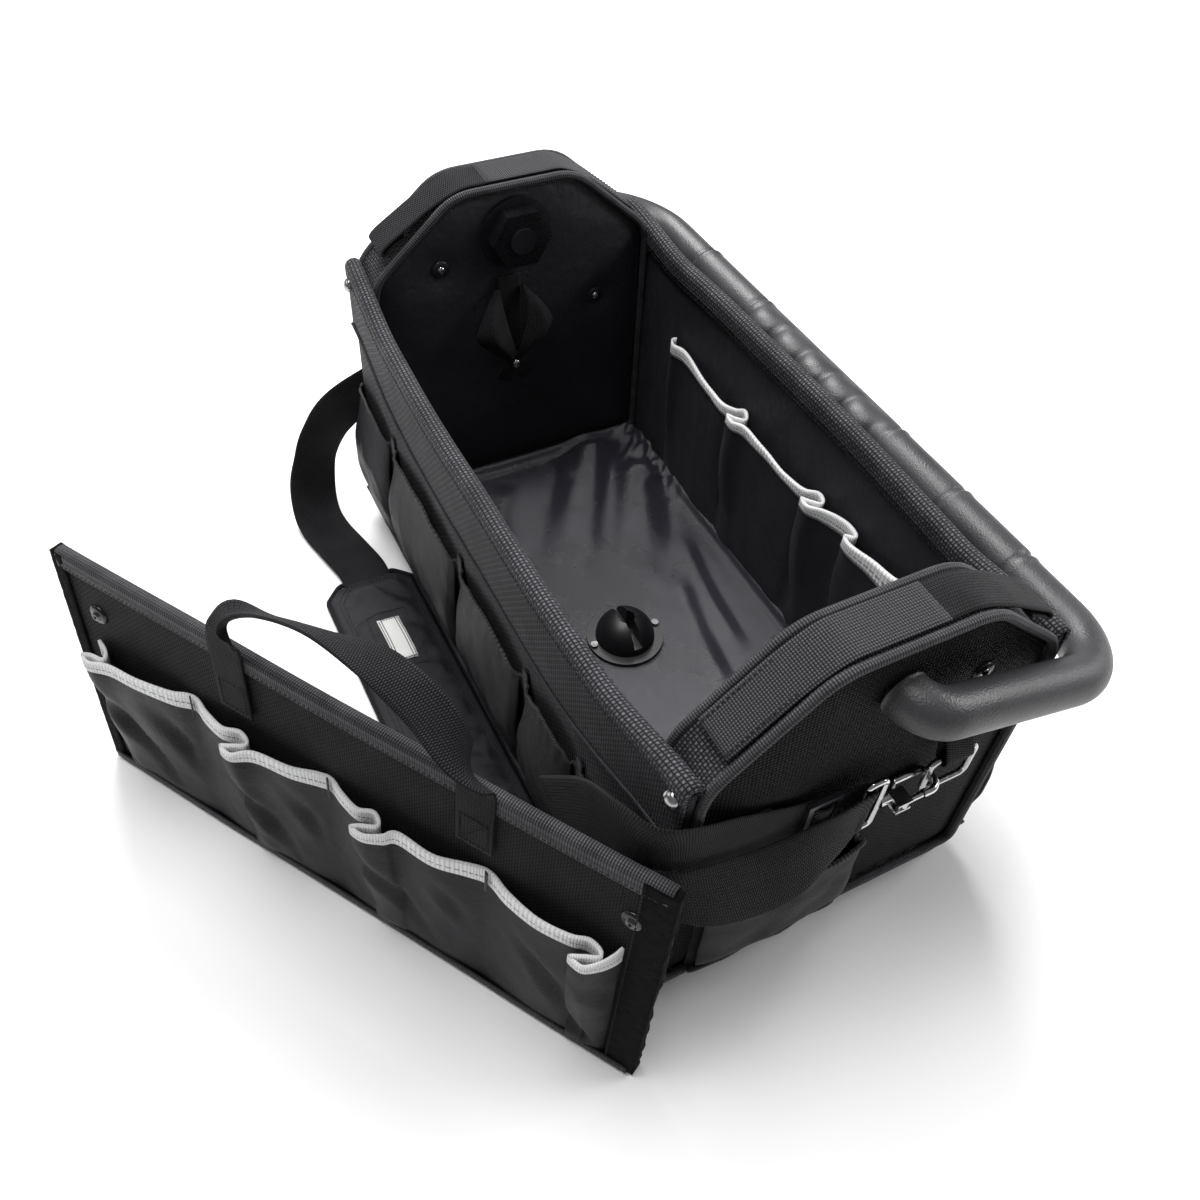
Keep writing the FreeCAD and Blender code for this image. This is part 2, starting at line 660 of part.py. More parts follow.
# ---------------------------------------------------------------- lift-out divider
def build_divider():
    length, height = size("divider_length"), size("divider_height")
    thick, wall = size("divider_thickness"), size("pocket_wall")
    strip = size("hook_strip_width")
    cap = 4.0
    keep(box("divider_panel", "Sizes.divider_length - 6", "Sizes.divider_thickness",
             "Sizes.divider_height - 4", DIVIDER.multiply(at(3, -thick / 2, 0))), "divider_panel")

    # Hooked fastening strips fold round both upright edges.
    strips = []
    for number, left in enumerate((0.0, length - strip)):
        outer = box("hook_strip_%d_blank" % number, "Sizes.hook_strip_width", "Sizes.divider_thickness + 4",
                    "Sizes.divider_height - 5", DIVIDER.multiply(at(left, -thick / 2 - 2, 0.5)))
        inner = box("hook_strip_%d_slot" % number, "Sizes.divider_length - 6", "Sizes.divider_thickness",
                    "Sizes.divider_height", DIVIDER.multiply(at(3, -thick / 2, -1)))
        strips.append(cut("hook_strip_%d" % number, outer, [inner]))
    keep(group("divider_hook_strips", strips), "divider_hook_strips")

    lowest = height - size("divider_binding_depth")
    rim = box("divider_binding_blank", "Sizes.divider_length - 6", "Sizes.divider_thickness + 4",
              "Sizes.divider_binding_depth", DIVIDER.multiply(at(3, -thick / 2 - 2, lowest)))
    slot = box("divider_binding_slot", "Sizes.divider_length + 2", "Sizes.divider_thickness",
               "Sizes.divider_binding_depth", DIVIDER.multiply(at(-1, -thick / 2, lowest - cap)))
    # The binding's own ends are cut away below its cap, where the hooked strips lie.
    ends = [box("divider_binding_end_%d" % number, "Sizes.hook_strip_width + 1", "Sizes.webbing_width", "7.8",
                DIVIDER.multiply(at(left, -size("webbing_width") / 2, lowest - SEAT)))
            for number, left in enumerate((-1.0, length - strip))]
    keep(cut("divider_binding", rim, [slot] + ends), "divider_binding")

    # Four pockets and their elastic on the face that looks away from the bag.
    row_length = length - 2 * strip - 6
    row_height = size("divider_pocket_height")
    foot, bulge = size("divider_pocket_foot"), size("divider_pocket_bulge")
    away = DIVIDER.multiply(Placement(Vector(length / 2, -thick / 2, 0), Rotation(Vector(0, 0, 1), 180)))
    outer = wedge("divider_pockets_block", "Sizes.divider_length - 2 * Sizes.hook_strip_width - 6",
                  "Sizes.divider_pocket_foot", "Sizes.divider_pocket_bulge", "Sizes.divider_pocket_height",
                  away.multiply(at(-row_length / 2, 0, 2)))
    seam = size("pocket_seam")
    pouch_length = (row_length - 5 * seam) / 4
    pouches = []
    for i in range(4):
        left = -row_length / 2 + seam + i * (pouch_length + seam)
        # Each pouch starts a wall's height up and stays a wall's depth inside the block.
        slope = (bulge - foot) / row_height
        pouches.append(wedge("divider_pouch%d" % (i + 1), "%g" % pouch_length,
                             "%g" % (foot - wall + slope * wall), "%g" % (bulge - wall + slope * wall),
                             "Sizes.divider_pocket_height", away.multiply(at(left, 0, 2 + wall))))
    keep(cut("divider_pockets", outer, pouches), "divider_pockets")
    keep(box("divider_elastic", "Sizes.divider_length - 2 * Sizes.hook_strip_width - 6",
             "Sizes.skin_thickness", "Sizes.elastic_height",
             away.multiply(at(-row_length / 2, bulge, row_height + 2 - size("elastic_height")))),
         "divider_elastic")

    snaps = [stud("divider_snap_%d" % number, away.multiply(at(across, 0, 160)), 13, 3)
             for number, across in enumerate((-row_length / 2 + 22, row_length / 2 - 22))]
    keep(group("divider_snaps", snaps), "divider_snaps")

    # Web carrying handle: both legs lie on the panel, and the arch twists edge-up between them.
    face = -thick / 2 - 3.2
    flat, edge, half_way = Vector(1, 0, 0), Vector(0, 1, 0), Vector(1, 1, 0)
    legs = [(Vector(142, face, 146), flat), (Vector(142, face, 203), flat),
            (Vector(146, face, 216), Vector(1, 0.5, 0)), (Vector(158, face + 2, 230), half_way),
            (Vector(180, face + 3, 246), edge), (Vector(215, face + 3, 256), edge),
            (Vector(255, face + 3, 255), edge), (Vector(285, face + 2, 242), Vector(0.4, 1, 0)),
            (Vector(303, face + 1, 228), half_way), (Vector(311, face, 213), Vector(1, 0.4, 0)),
            (Vector(313, face, 203), flat), (Vector(313, face, 150), flat)]
    shape = ribbon(legs, 25.0, size("webbing_thickness"))
    keep(freeform("divider_web_handle", shape, DIVIDER), "divider_web_handle")


# ---------------------------------------------------------------- shoulder strap
HOOK_X = HALF_LENGTH + 12.0
HOOK_Y = -8.0
HOOK_Z = 164.0
PAD_FAR = -163.0
PAD_FRONT = -202.0


def build_pad():
    body = doc.addObject("PartDesign::Body", "strap_pad")
    outline = sketch_on(body, "XY_Plane", "strap_pad_outline")
    far, near = "%g" % PAD_FAR, "%g + Sizes.pad_length" % PAD_FAR
    low, high = "%g" % PAD_FRONT, "%g + Sizes.pad_width" % PAD_FRONT
    inset = "Sizes.pad_width / 5"
    polygon(outline, [(far, low + " + " + inset), (far + " + " + inset, low), (near + " - " + inset, low),
                      (near, low + " + " + inset), (near, high + " - " + inset),
                      (near + " - " + inset, high), (far + " + " + inset, high),
                      (far, high + " - " + inset)])
    pad = body.newObject("PartDesign::Pad", "strap_pad_pad")
    pad.Profile = outline
    pad.setExpression("Length", "Sizes.pad_thickness")
    body.Tip = pad
    keep(body, "strap_pad")
    label = at(PAD_FAR + 62, PAD_FRONT + size("pad_width") / 2 - 9, size("pad_thickness"))
    keep(box("pad_label", "46", "18", "0.8", label), "pad_label")


def build_webbing():
    """Flat strap from each hook round the pocket-side corners to the ends of the pad."""
    wide, thick = size("webbing_width"), size("webbing_thickness")
    up, flat = Vector(0, 0, 1), Vector(0, -1, 0)
    middle = PAD_FRONT + size("pad_width") / 2
    end = HOOK_Y - 2.4
    far_run = [(Vector(-HOOK_X, end, HOOK_Z), up), (Vector(-HOOK_X, end - 6, HOOK_Z), up),
               (Vector(-HOOK_X, -34, 157), up), (Vector(-HOOK_X, -66, 141), up),
               (Vector(-HOOK_X - 1, -100, 121), up), (Vector(-265, -134, 104), Vector(0, -0.1, 1)),
               (Vector(-271, -154, 78), Vector(0.1, -0.35, 0.9)),
               (Vector(-274, -166, 50), Vector(0.1, -0.65, 0.7)),
               (Vector(-268, -174, 25), Vector(-0.1, -1, 0.35)),
               (Vector(-252, -178, 9), Vector(0, -1, 0.1)), (Vector(-232, -177, 3.5), flat),
               (Vector(-204, -171, 3.5), flat), (Vector(PAD_FAR - 12, middle, 3.5), flat),
               (Vector(PAD_FAR - 0.4, middle, 3.5), flat)]
    keep(freeform("webbing_far", ribbon(far_run, wide, thick)), "webbing_far")

    near_run = [(Vector(HOOK_X, end, HOOK_Z), up), (Vector(HOOK_X, end - 6, HOOK_Z), up),
                (Vector(HOOK_X + 5, -34, 157), Vector(-0.25, 0, 1)),
                (Vector(HOOK_X + 9, -58, 153), Vector(-0.5, 0, 0.86)),
                (Vector(HOOK_X + 9, -86, 156), Vector(-0.5, 0, 0.86)),
                (Vector(HOOK_X + 6, -114, 164), Vector(-0.35, 0, 0.9)),
                (Vector(256, -135, 166), up), (Vector(238, -144, 154), Vector(0.3, 0, 1)),
                (Vector(224, -148, 130), Vector(0.8, 0, 0.6)), (Vector(216, -151, 96), Vector(1, 0, 0.25)),
                (Vector(213, -154, 58), Vector(1, 0, 0)), (Vector(212, -157, 30), Vector(1, 0.5, 0)),
                (Vector(204, -163, 14), Vector(0.1, 1, 0)),
                (Vector(PAD_FAR + size("pad_length") + 11, middle - 1, 4), Vector(0, 1, 0)),
                (Vector(PAD_FAR + size("pad_length") + 0.4, middle, 3.5), Vector(0, 1, 0))]
    keep(freeform("webbing_near", ribbon(near_run, wide, thick)), "webbing_near")

    # The adjusting tail runs back under the near strap and is sewn below the side band.
    tail = [(Vector(256, -24, 164), up), (Vector(256, -46, 169), up), (Vector(256, -66, 175), up),
            (Vector(256.5, -92, 187), up), (Vector(256.5, -118, 198), up),
            (Vector(248, -135, 201), Vector(0.15, 0, 1)), (Vector(232, -143, 193), Vector(0.5, 0, 0.8)),
            (Vector(216, -143, 179), Vector(0.9, 0, 0.5)), (Vector(208, -137, 168), Vector(1, 0, 0.15)),
            (Vector(206, -126.5, 157), Vector(1, 0, 0))]
    keep(freeform("webbing_tail", ribbon(tail, wide, thick)), "webbing_tail")

    frame = box("slider_plate", "3", "22", "Sizes.webbing_width + 8", at(257.5, -46, 165 - wide / 2 - 4))
    slots = [box("slider_slot_%d" % number, "5", "5", "Sizes.webbing_width", at(256.5, y, 165 - wide / 2))
             for number, y in enumerate((-42.5, -32.5))]
    keep(cut("strap_slider", frame, slots), "strap_slider")


def build_hook(end, place):
    """Snap hook: an eye for the webbing, a barrel, a curved claw and a hinged gate that closes it."""
    wire, half_eye, reach = size("ring_wire"), 23.0, 7.0
    hinge = Vector(24.5, reach, 0)
    along, cross = Vector(1, 0, 0), Vector(0, 0, 1)
    eye = rod_along(rounded_path([Vector(0, 0, -half_eye), Vector(12, 0, -half_eye), Vector(12, 0, half_eye),
                                  Vector(0, 0, half_eye)], wire, closed=True), wire)
    barrel = Part.makeCylinder(wire, 9, Vector(12, 0, 0), along)
    claw = rod_along(rounded_path([Vector(19, 0, 0), Vector(27, -reach, 0), Vector(50, -reach, 0),
                                   Vector(50, reach, 0), Vector(38, reach, 0)], [0, 4.0, 6.5, 6.5, 0]),
                     size("claw_wire"))
    cheeks = [Part.makeBox(10, 11, 2, Vector(18, -1, z)) for z in (2.3, -4.3)]
    pin = Part.makeCylinder(size("gate_pin") / 2, 8.6, hinge - cross * 4.3, cross)
    keep(freeform("snap_hook_" + end, eye.fuse([barrel, claw] + cheeks + [pin]), place), "snap_hook_" + end)
    eyelet = Part.makeCylinder(3, 4, hinge - cross * 2, cross)
    tongue = Part.makeCylinder(size("gate_size") / 2, 12.9, hinge, along)
    bore = Part.makeCylinder(size("gate_bore") / 2, 6, hinge - cross * 3, cross)
    keep(freeform("hook_gate_" + end, eyelet.fuse(tongue).cut(bore), place), "hook_gate_" + end)


def build_fittings():
    """Tab, ring and snap hook at each end. Hook frame: X along the hook, Y away from the panel."""
    turned = Rotation(Vector(0, 0, 1), 90)
    frames = {"near": (1, Rotation(Vector(0, 1, 0), 180).multiply(turned), 16), "far": (-1, turned, 12)}
    tabs, rings = [], []
    for end, (sign, turn, lift) in frames.items():
        place = Placement(Vector(sign * HOOK_X, HOOK_Y, HOOK_Z), turn)
        build_hook(end, place)
        ring = rod_along(rounded_path([Vector(45, 0, -16), Vector(77, 0, -16), Vector(77, 0, 12),
                                       Vector(45, 0, 12)], 5.0, closed=True), size("ring_wire"))
        rings.append(freeform("ring_" + end, ring, place))
        # The tab is sewn to the panel at both its ends and carries the ring in its fold.
        top = HOOK_Z + lift
        stations = [(HALF_LENGTH + out, up) for out, up in
                    ((1.2, top + 36), (1.2, top + 22), (7, top + 6), (8.6, top - 2.5), (12, top - 3.8),
                     (15.4, top - 2.5), (15.4, top + 4), (4.2, top + 26), (3.4, top + 36))]
        line = [(Vector(sign * out, HOOK_Y + 61, up), Vector(0, 1, 0)) for out, up in stations]
        tabs.append(freeform("tab_" + end, ribbon(line, 20.0, 1.6)))
    keep(group("strap_rings", rings), "strap_rings")
    keep(group("ring_tabs", tabs), "ring_tabs")


def build_all():
    build_base()
    elastics = []
    for side, place in SIDES.items():
        build_side(side, place)
        elastics.append(build_side_pockets(side, place))
    keep(group("inner_elastics", elastics), "inner_elastics")
    for end, place in ENDS.items():
        build_end(end, place)
        build_top_webbing(end, place)
        build_end_pockets(end, place)
    build_rivets()
    build_dome()
    build_tool_loop()
    build_handle_tube()
    build_pivots()
    build_divider()
    build_pad()
    build_webbing()
    build_fittings()


build_all()
doc.recompute()

# ---------------------------------------------------------------- checks and export
faults = [item.Name for item in doc.Objects if "Invalid" in item.State or "Error" in item.State]
for piece in nodes:
    if piece.Shape.isNull() or not piece.Shape.isValid():
        faults.append(piece.Label)
if faults:
    print("not exported, faulty:", faults)
    sys.exit(1)

os.makedirs("parts", exist_ok=True)
for piece in nodes:
    piece.Shape.exportStep("parts/%s.step" % piece.Label)
print(len(nodes), "sub-parts")
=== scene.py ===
import math

import bpy
from mathutils import Matrix, Vector, noise
from mathutils.bvhtree import BVHTree


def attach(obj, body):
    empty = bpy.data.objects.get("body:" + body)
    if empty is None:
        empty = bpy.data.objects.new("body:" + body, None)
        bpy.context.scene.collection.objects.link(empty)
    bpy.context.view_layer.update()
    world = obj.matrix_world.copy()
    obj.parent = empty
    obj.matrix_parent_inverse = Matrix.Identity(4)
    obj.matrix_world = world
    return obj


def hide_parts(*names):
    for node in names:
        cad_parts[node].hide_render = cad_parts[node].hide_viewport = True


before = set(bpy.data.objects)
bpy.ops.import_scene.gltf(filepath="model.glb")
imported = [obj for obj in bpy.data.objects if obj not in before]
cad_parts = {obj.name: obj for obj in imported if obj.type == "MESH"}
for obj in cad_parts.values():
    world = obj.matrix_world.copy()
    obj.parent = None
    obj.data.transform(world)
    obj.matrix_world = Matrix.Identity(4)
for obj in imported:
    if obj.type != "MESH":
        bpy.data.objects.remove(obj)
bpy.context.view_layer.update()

# Garden tool bag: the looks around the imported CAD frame. Lengths below are in millimetres and
# are turned into metres where a mesh is made. +X near end, -Y pocket side, +Z up.
MM = 0.001
X, Y, Z = Vector((1, 0, 0)), Vector((0, 1, 0)), Vector((0, 0, 1))


# ---------------------------------------------------------------- small maths
def step(value, low=0.0, high=1.0):
    """0 below low, 1 above high, smooth between."""
    t = min(1.0, max(0.0, (value - low) / (high - low)))
    return t * t * (3 - 2 * t)


def ripple(x, y, z=0.0, size=40.0, seed=0.0):
    """Smooth noise from about -1 to 1, in features of the given size."""
    return noise.noise(Vector((x / size + seed, y / size - seed, z / size + 2 * seed)))


def crease(x, y, size=40.0, seed=0.0):
    """Sharp-crested noise from 0 to 1, like pressed folds in cloth."""
    return 1 - min(1.0, 2.2 * abs(ripple(x, y, 0, size, seed)))


def curve_through(points, per_span=8, closed=False):
    """Points of a smooth curve through the given ones (Catmull-Rom)."""
    points = [Vector(p) for p in points]
    count = len(points)
    out = []
    for i in range(count if closed else count - 1):
        if closed:
            a, b, c, d = (points[(i + k) % count] for k in (-1, 0, 1, 2))
        else:
            b, c = points[i], points[i + 1]
            a = points[i - 1] if i else b + (b - c)
            d = points[i + 2] if i + 2 < count else c + (c - b)
        for k in range(per_span):
            t = k / per_span
            out.append(0.5 * (2 * b + (c - a) * t + (2 * a - 5 * b + 4 * c - d) * t * t
                              + (3 * b - a - 3 * c + d) * t ** 3))
    if not closed:
        out.append(points[-1])
    return out


def lengths(points):
    """Distance along a line of points, at each of them."""
    run = [0.0]
    for a, b in zip(points, points[1:]):
        run.append(run[-1] + (b - a).length)
    return run


def even(points, count):
    """The same line with count points evenly along it."""
    run = lengths(points)
    out, i = [], 0
    for k in range(count):
        want = run[-1] * k / (count - 1)
        while i < len(points) - 2 and run[i + 1] < want:
            i += 1
        span = run[i + 1] - run[i] or 1.0
        out.append(points[i].lerp(points[i + 1], min(1.0, (want - run[i]) / span)))
    return out


# ---------------------------------------------------------------- meshes
def mesh_of(name, points, faces):
    mesh = bpy.data.meshes.new(name)
    mesh.from_pydata([Vector(p) * MM for p in points], [], faces)
    return mesh


def shown(name, data):
    """A new object in the scene."""
    made = bpy.data.objects.new(name, data)
    bpy.context.scene.collection.objects.link(made)
    return made


def piece(name, points, faces, loops, material, nodes=(), slot=None, body="bag"):
    """A mesh object that rides on a body. loops holds one cloth coordinate pair per face corner."""
    mesh = mesh_of(name, points, faces)
    layer = mesh.uv_layers.new(name="cloth")
    layer.data.foreach_set("uv", [c * MM for pair in loops for c in pair])
    mesh.polygons.foreach_set("use_smooth", [True] * len(faces))
    mesh.materials.append(material)
    mesh.update()
    made = shown(name, mesh)
    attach(made, body)
    if nodes:
        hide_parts(*nodes)
    return made


def join(parts):
    """Lists of (points, faces, loops) as one."""
    points, faces, loops = [], [], []
    for p, f, l in parts:
        start = len(points)
        points += p
        faces += [tuple(i + start for i in face) for face in f]
        loops += l
    return points, faces, loops


def grid(rows, cols, point, size=(1, 1), wrap=False, flip=False):
    """A quad grid; point(a, b) has a along the rows and b along the columns, both from 0 to 1."""
    wide = cols if wrap else cols + 1
    points = [Vector(point(i / rows, j / cols)) for i in range(rows + 1) for j in range(wide)]
    faces, loops = [], []
    for i in range(rows):
        for j in range(cols):
            ring = [(i, j), (i + 1, j), (i + 1, j + 1), (i, j + 1)]
            if flip:
                ring.reverse()
            faces.append(tuple(a * wide + b % wide for a, b in ring))
            loops += [(a / rows * size[0], b / cols * size[1]) for a, b in ring]
    return points, faces, loops


def sheet_of(part, thickness):
    """A grid given a thickness, closed all round its rim."""
    points, faces, loops = part
    normals = [Vector() for _ in points]
    for face in faces:
        a, b, c, d = (points[i] for i in face)
        normal = (c - a).cross(d - b)
        for i in face:
            normals[i] += normal
    inner = [p - n.normalized() * thickness for p, n in zip(points, normals)]
    count = len(points)
    edges = {}
    for number, face in enumerate(faces):
        for k in range(4):
            a, b = face[k], face[(k + 1) % 4]
            edges[a, b] = (number, k)
    all_faces, all_loops = list(faces), list(loops)
    for number, face in enumerate(faces):
        all_faces.append(tuple(i + count for i in reversed(face)))
        all_loops += reversed(loops[4 * number:4 * number + 4])
    for (a, b), (number, k) in edges.items():
        if (b, a) not in edges:
            all_faces.append((b, a, a + count, b + count))
            here, after = loops[4 * number + k], loops[4 * number + (k + 1) % 4]
            all_loops += [after, here, here, after]
    return points + inner, all_faces, all_loops


def fan(part, ring):
    """Closes a ring of points with triangles round a new middle point."""
    points, faces, loops = part
    points.append(sum((points[i] for i in ring), Vector()) / len(ring))
    for a, b in zip(ring, ring[1:] + ring[:1]):
        faces.append((len(points) - 1, a, b))
        loops += [(0, 0), (0, 1), (1, 1)]
    return part


def capped(part, cols):
    """Closes both ends of a wrapped grid."""
    last = len(part[0]) - cols
    fan(part, list(range(cols)))
    return fan(part, list(range(last, last + cols))[::-1])


def turned_over(part):
    """The same mesh with its faces looking the other way."""
    points, faces, loops = part
    out, start = [], 0
    for face in faces:
        out += reversed(loops[start:start + len(face)])
        start += len(face)
    return points, [tuple(reversed(face)) for face in faces], out


def frames_along(points, closed=False):
    """Two directions across a line at each of its points, turning as little as they can."""
    count = len(points)
    along = []
    for i in range(count):
        before = points[i - 1] if i or closed else points[0]
        after = points[(i + 1) % count] if i + 1 < count or closed else points[-1]
        along.append((after - before).normalized())
    side = along[0].orthogonal().normalized()
    out = []
    for t in along:
        side = (side - t * side.dot(t)).normalized()
        out.append((side.copy(), t.cross(side)))
    return out


def rod(points, radius, sides=10, closed=False):
    """A round tube along points. radius is a number, or a function of (index, angle)."""
    points = [Vector(p) for p in points]
    if closed:
        points = points + [points[0]]
    across = frames_along(points)
    if closed:
        # The last ring has to meet the first, so the twist left over is spread along the tube.
        a, b = across[0]
        c = across[-1][0]
        twist = math.atan2(c.dot(b), c.dot(a))
    size = radius if callable(radius) else (lambda i, turn: radius)
    count = len(points) - 1
    total = lengths(points)[-1]

    def point(a, b):
        i = round(a * count)
        turn = 2 * math.pi * b - (twist * a if closed else 0)
        u, v = across[i]
        return points[i] + (u * math.cos(turn) + v * math.sin(turn)) * size(i, turn)

    part = grid(count, sides, point, (total, 2 * math.pi * size(0, 0)), wrap=True, flip=True)
    return part if closed else capped(part, sides)


WEB_SECTION = ((-1, 0), (-0.96, 0.8), (-0.8, 1), (-0.3, 1), (0.3, 1), (0.8, 1), (0.96, 0.8),
               (1, 0), (0.96, -0.8), (0.8, -1), (0.3, -1), (-0.3, -1), (-0.8, -1), (-0.96, -0.8))


def strap(stations, width, thickness, per_span=8, wave=0.0):
    """Flat webbing on a smooth curve through stations of (centre, direction across)."""
    centres = curve_through([centre for centre, _ in stations], per_span)
    acrosses = curve_through([Vector(across).normalized() for _, across in stations], per_span)
    count = len(centres) - 1
    run = lengths(centres)
    points, faces, loops = [], [], []
    wide = len(WEB_SECTION)
    for i, (centre, across) in enumerate(zip(centres, acrosses)):
        along = (centres[min(i + 1, count)] - centres[max(i - 1, 0)]).normalized()
        across = (across - along * across.dot(along)).normalized()
        normal = along.cross(across)
        lift = wave * ripple(run[i], 0, 0, 35, 3.1)
        for s, n in WEB_SECTION:
            points.append(centre + across * (s * width / 2)
                          + normal * (n * thickness / 2 + lift * (1 - s * s)))
    for i in range(count):
        for j in range(wide):
            ring = [(i, j), (i + 1, j), (i + 1, j + 1), (i, j + 1)]
            faces.append(tuple(a * wide + b % wide for a, b in ring))
            loops += [(run[a], WEB_SECTION[b % wide][0] * width / 2) for a, b in ring]
    return turned_over(capped((points, faces, loops), wide))


# A stitch: its rings as (place along it, width), and the corners of a ring.
STITCH_RINGS = ((-1.0, 0.25), (-0.6, 0.9), (0.0, 1.0), (0.6, 0.9), (1.0, 0.25))
STITCH_CORNERS = ((1, 0), (0.5, 0.87), (-0.5, 0.87), (-1, 0), (-0.5, -0.5), (0.5, -0.5))
STITCH_FACES = [(i * 6 + j, (i + 1) * 6 + j, (i + 1) * 6 + (j + 1) % 6, i * 6 + (j + 1) % 6)
                for i in range(4) for j in range(6)]
STITCH_FACES += [tuple(range(6)), tuple(reversed(range(24, 30)))]


def stitches(points, normal, pitch=3.4, long=2.4, thick=0.42):
    """A row of thread stitches lying along a line, on a surface with the given normal."""
    run = lengths(points)
    parts = []
    for k in range(int(run[-1] / pitch)):
        want = (k + 0.5) * pitch
        i = next(n for n in range(1, len(run)) if run[n] >= want) - 1
        centre = points[i].lerp(points[i + 1], (want - run[i]) / (run[i + 1] - run[i]))
        along = (points[i + 1] - points[i]).normalized()
        side = along.cross(normal).normalized()
        up = side.cross(along)
        flat = [centre + along * (a * long / 2) + side * (c * r * thick) + up * (s * r * thick)
                for a, r in STITCH_RINGS for c, s in STITCH_CORNERS]
        parts.append((flat, STITCH_FACES, [(0, 0)] * sum(len(f) for f in STITCH_FACES)))
    return join(parts)


def turned(profile, place, sides=28):
    """A turned shape: (radius, height) pairs from the middle of the top down, along local Y."""
    points = [place @ Vector((0, profile[0][1], 0))]
    for r, h in profile[1:]:
        points += [place @ Vector((r * math.cos(2 * math.pi * k / sides), h,
                                   r * math.sin(2 * math.pi * k / sides))) for k in range(sides)]
    faces = [(0, 1 + (k + 1) % sides, 1 + k) for k in range(sides)]
    for i in range(len(profile) - 2):
        a, b = 1 + i * sides, 1 + (i + 1) * sides
        faces += [(a + k, a + (k + 1) % sides, b + (k + 1) % sides, b + k) for k in range(sides)]
    last = 1 + (len(profile) - 2) * sides
    faces.append(tuple(range(last, last + sides)))
    return points, faces, [(0, 0)] * sum(len(f) for f in faces)


SIM_STEPS = 20


def inflated(part, held, pressure, cap, voxel):
    """A closed shape after a cloth run under pressure. Points where held() is true stay, and no
    point moves further than cap."""
    points, faces, _ = part
    scene = bpy.context.scene
    body = shown("blank", mesh_of("blank", points, faces))
    remesh = body.modifiers.new("remesh", "REMESH")
    remesh.mode = "VOXEL"
    remesh.voxel_size = voxel * MM
    graph = bpy.context.evaluated_depsgraph_get()
    body.data = bpy.data.meshes.new_from_object(body.evaluated_get(graph))
    body.modifiers.clear()
    out = [v.co / MM for v in body.data.vertices]
    faces = [tuple(f.vertices) for f in body.data.polygons]
    group = body.vertex_groups.new(name="held")
    group.add([i for i, p in enumerate(out) if held(p)], 1.0, "REPLACE")
    cloth = body.modifiers.new("cloth", "CLOTH")
    cloth.settings.vertex_group_mass = "held"
    cloth.settings.use_pressure = True
    cloth.settings.uniform_pressure_force = pressure
    cloth.settings.effector_weights.gravity = 0.0
    cloth.settings.shrink_min = -0.02
    cloth.point_cache.frame_start, cloth.point_cache.frame_end = 1, SIM_STEPS
    for number in range(1, SIM_STEPS + 1):
        scene.frame_set(number)
    graph = bpy.context.evaluated_depsgraph_get()
    for i, vertex in enumerate(body.evaluated_get(graph).data.vertices):
        move = vertex.co / MM - out[i]
        out[i] = out[i] + move * min(1.0, cap / max(move.length, cap))
    scene.frame_set(1)
    bpy.data.objects.remove(body)
    return out, faces


def top_of(made):
    """A function that gives how high a piece's mesh is at (x, y)."""
    tree = BVHTree.FromPolygons([v.co / MM for v in made.data.vertices],
                                [tuple(f.vertices) for f in made.data.polygons])
    return lambda x, y: tree.ray_cast(Vector((x, y, 400)), -Z)[0].z


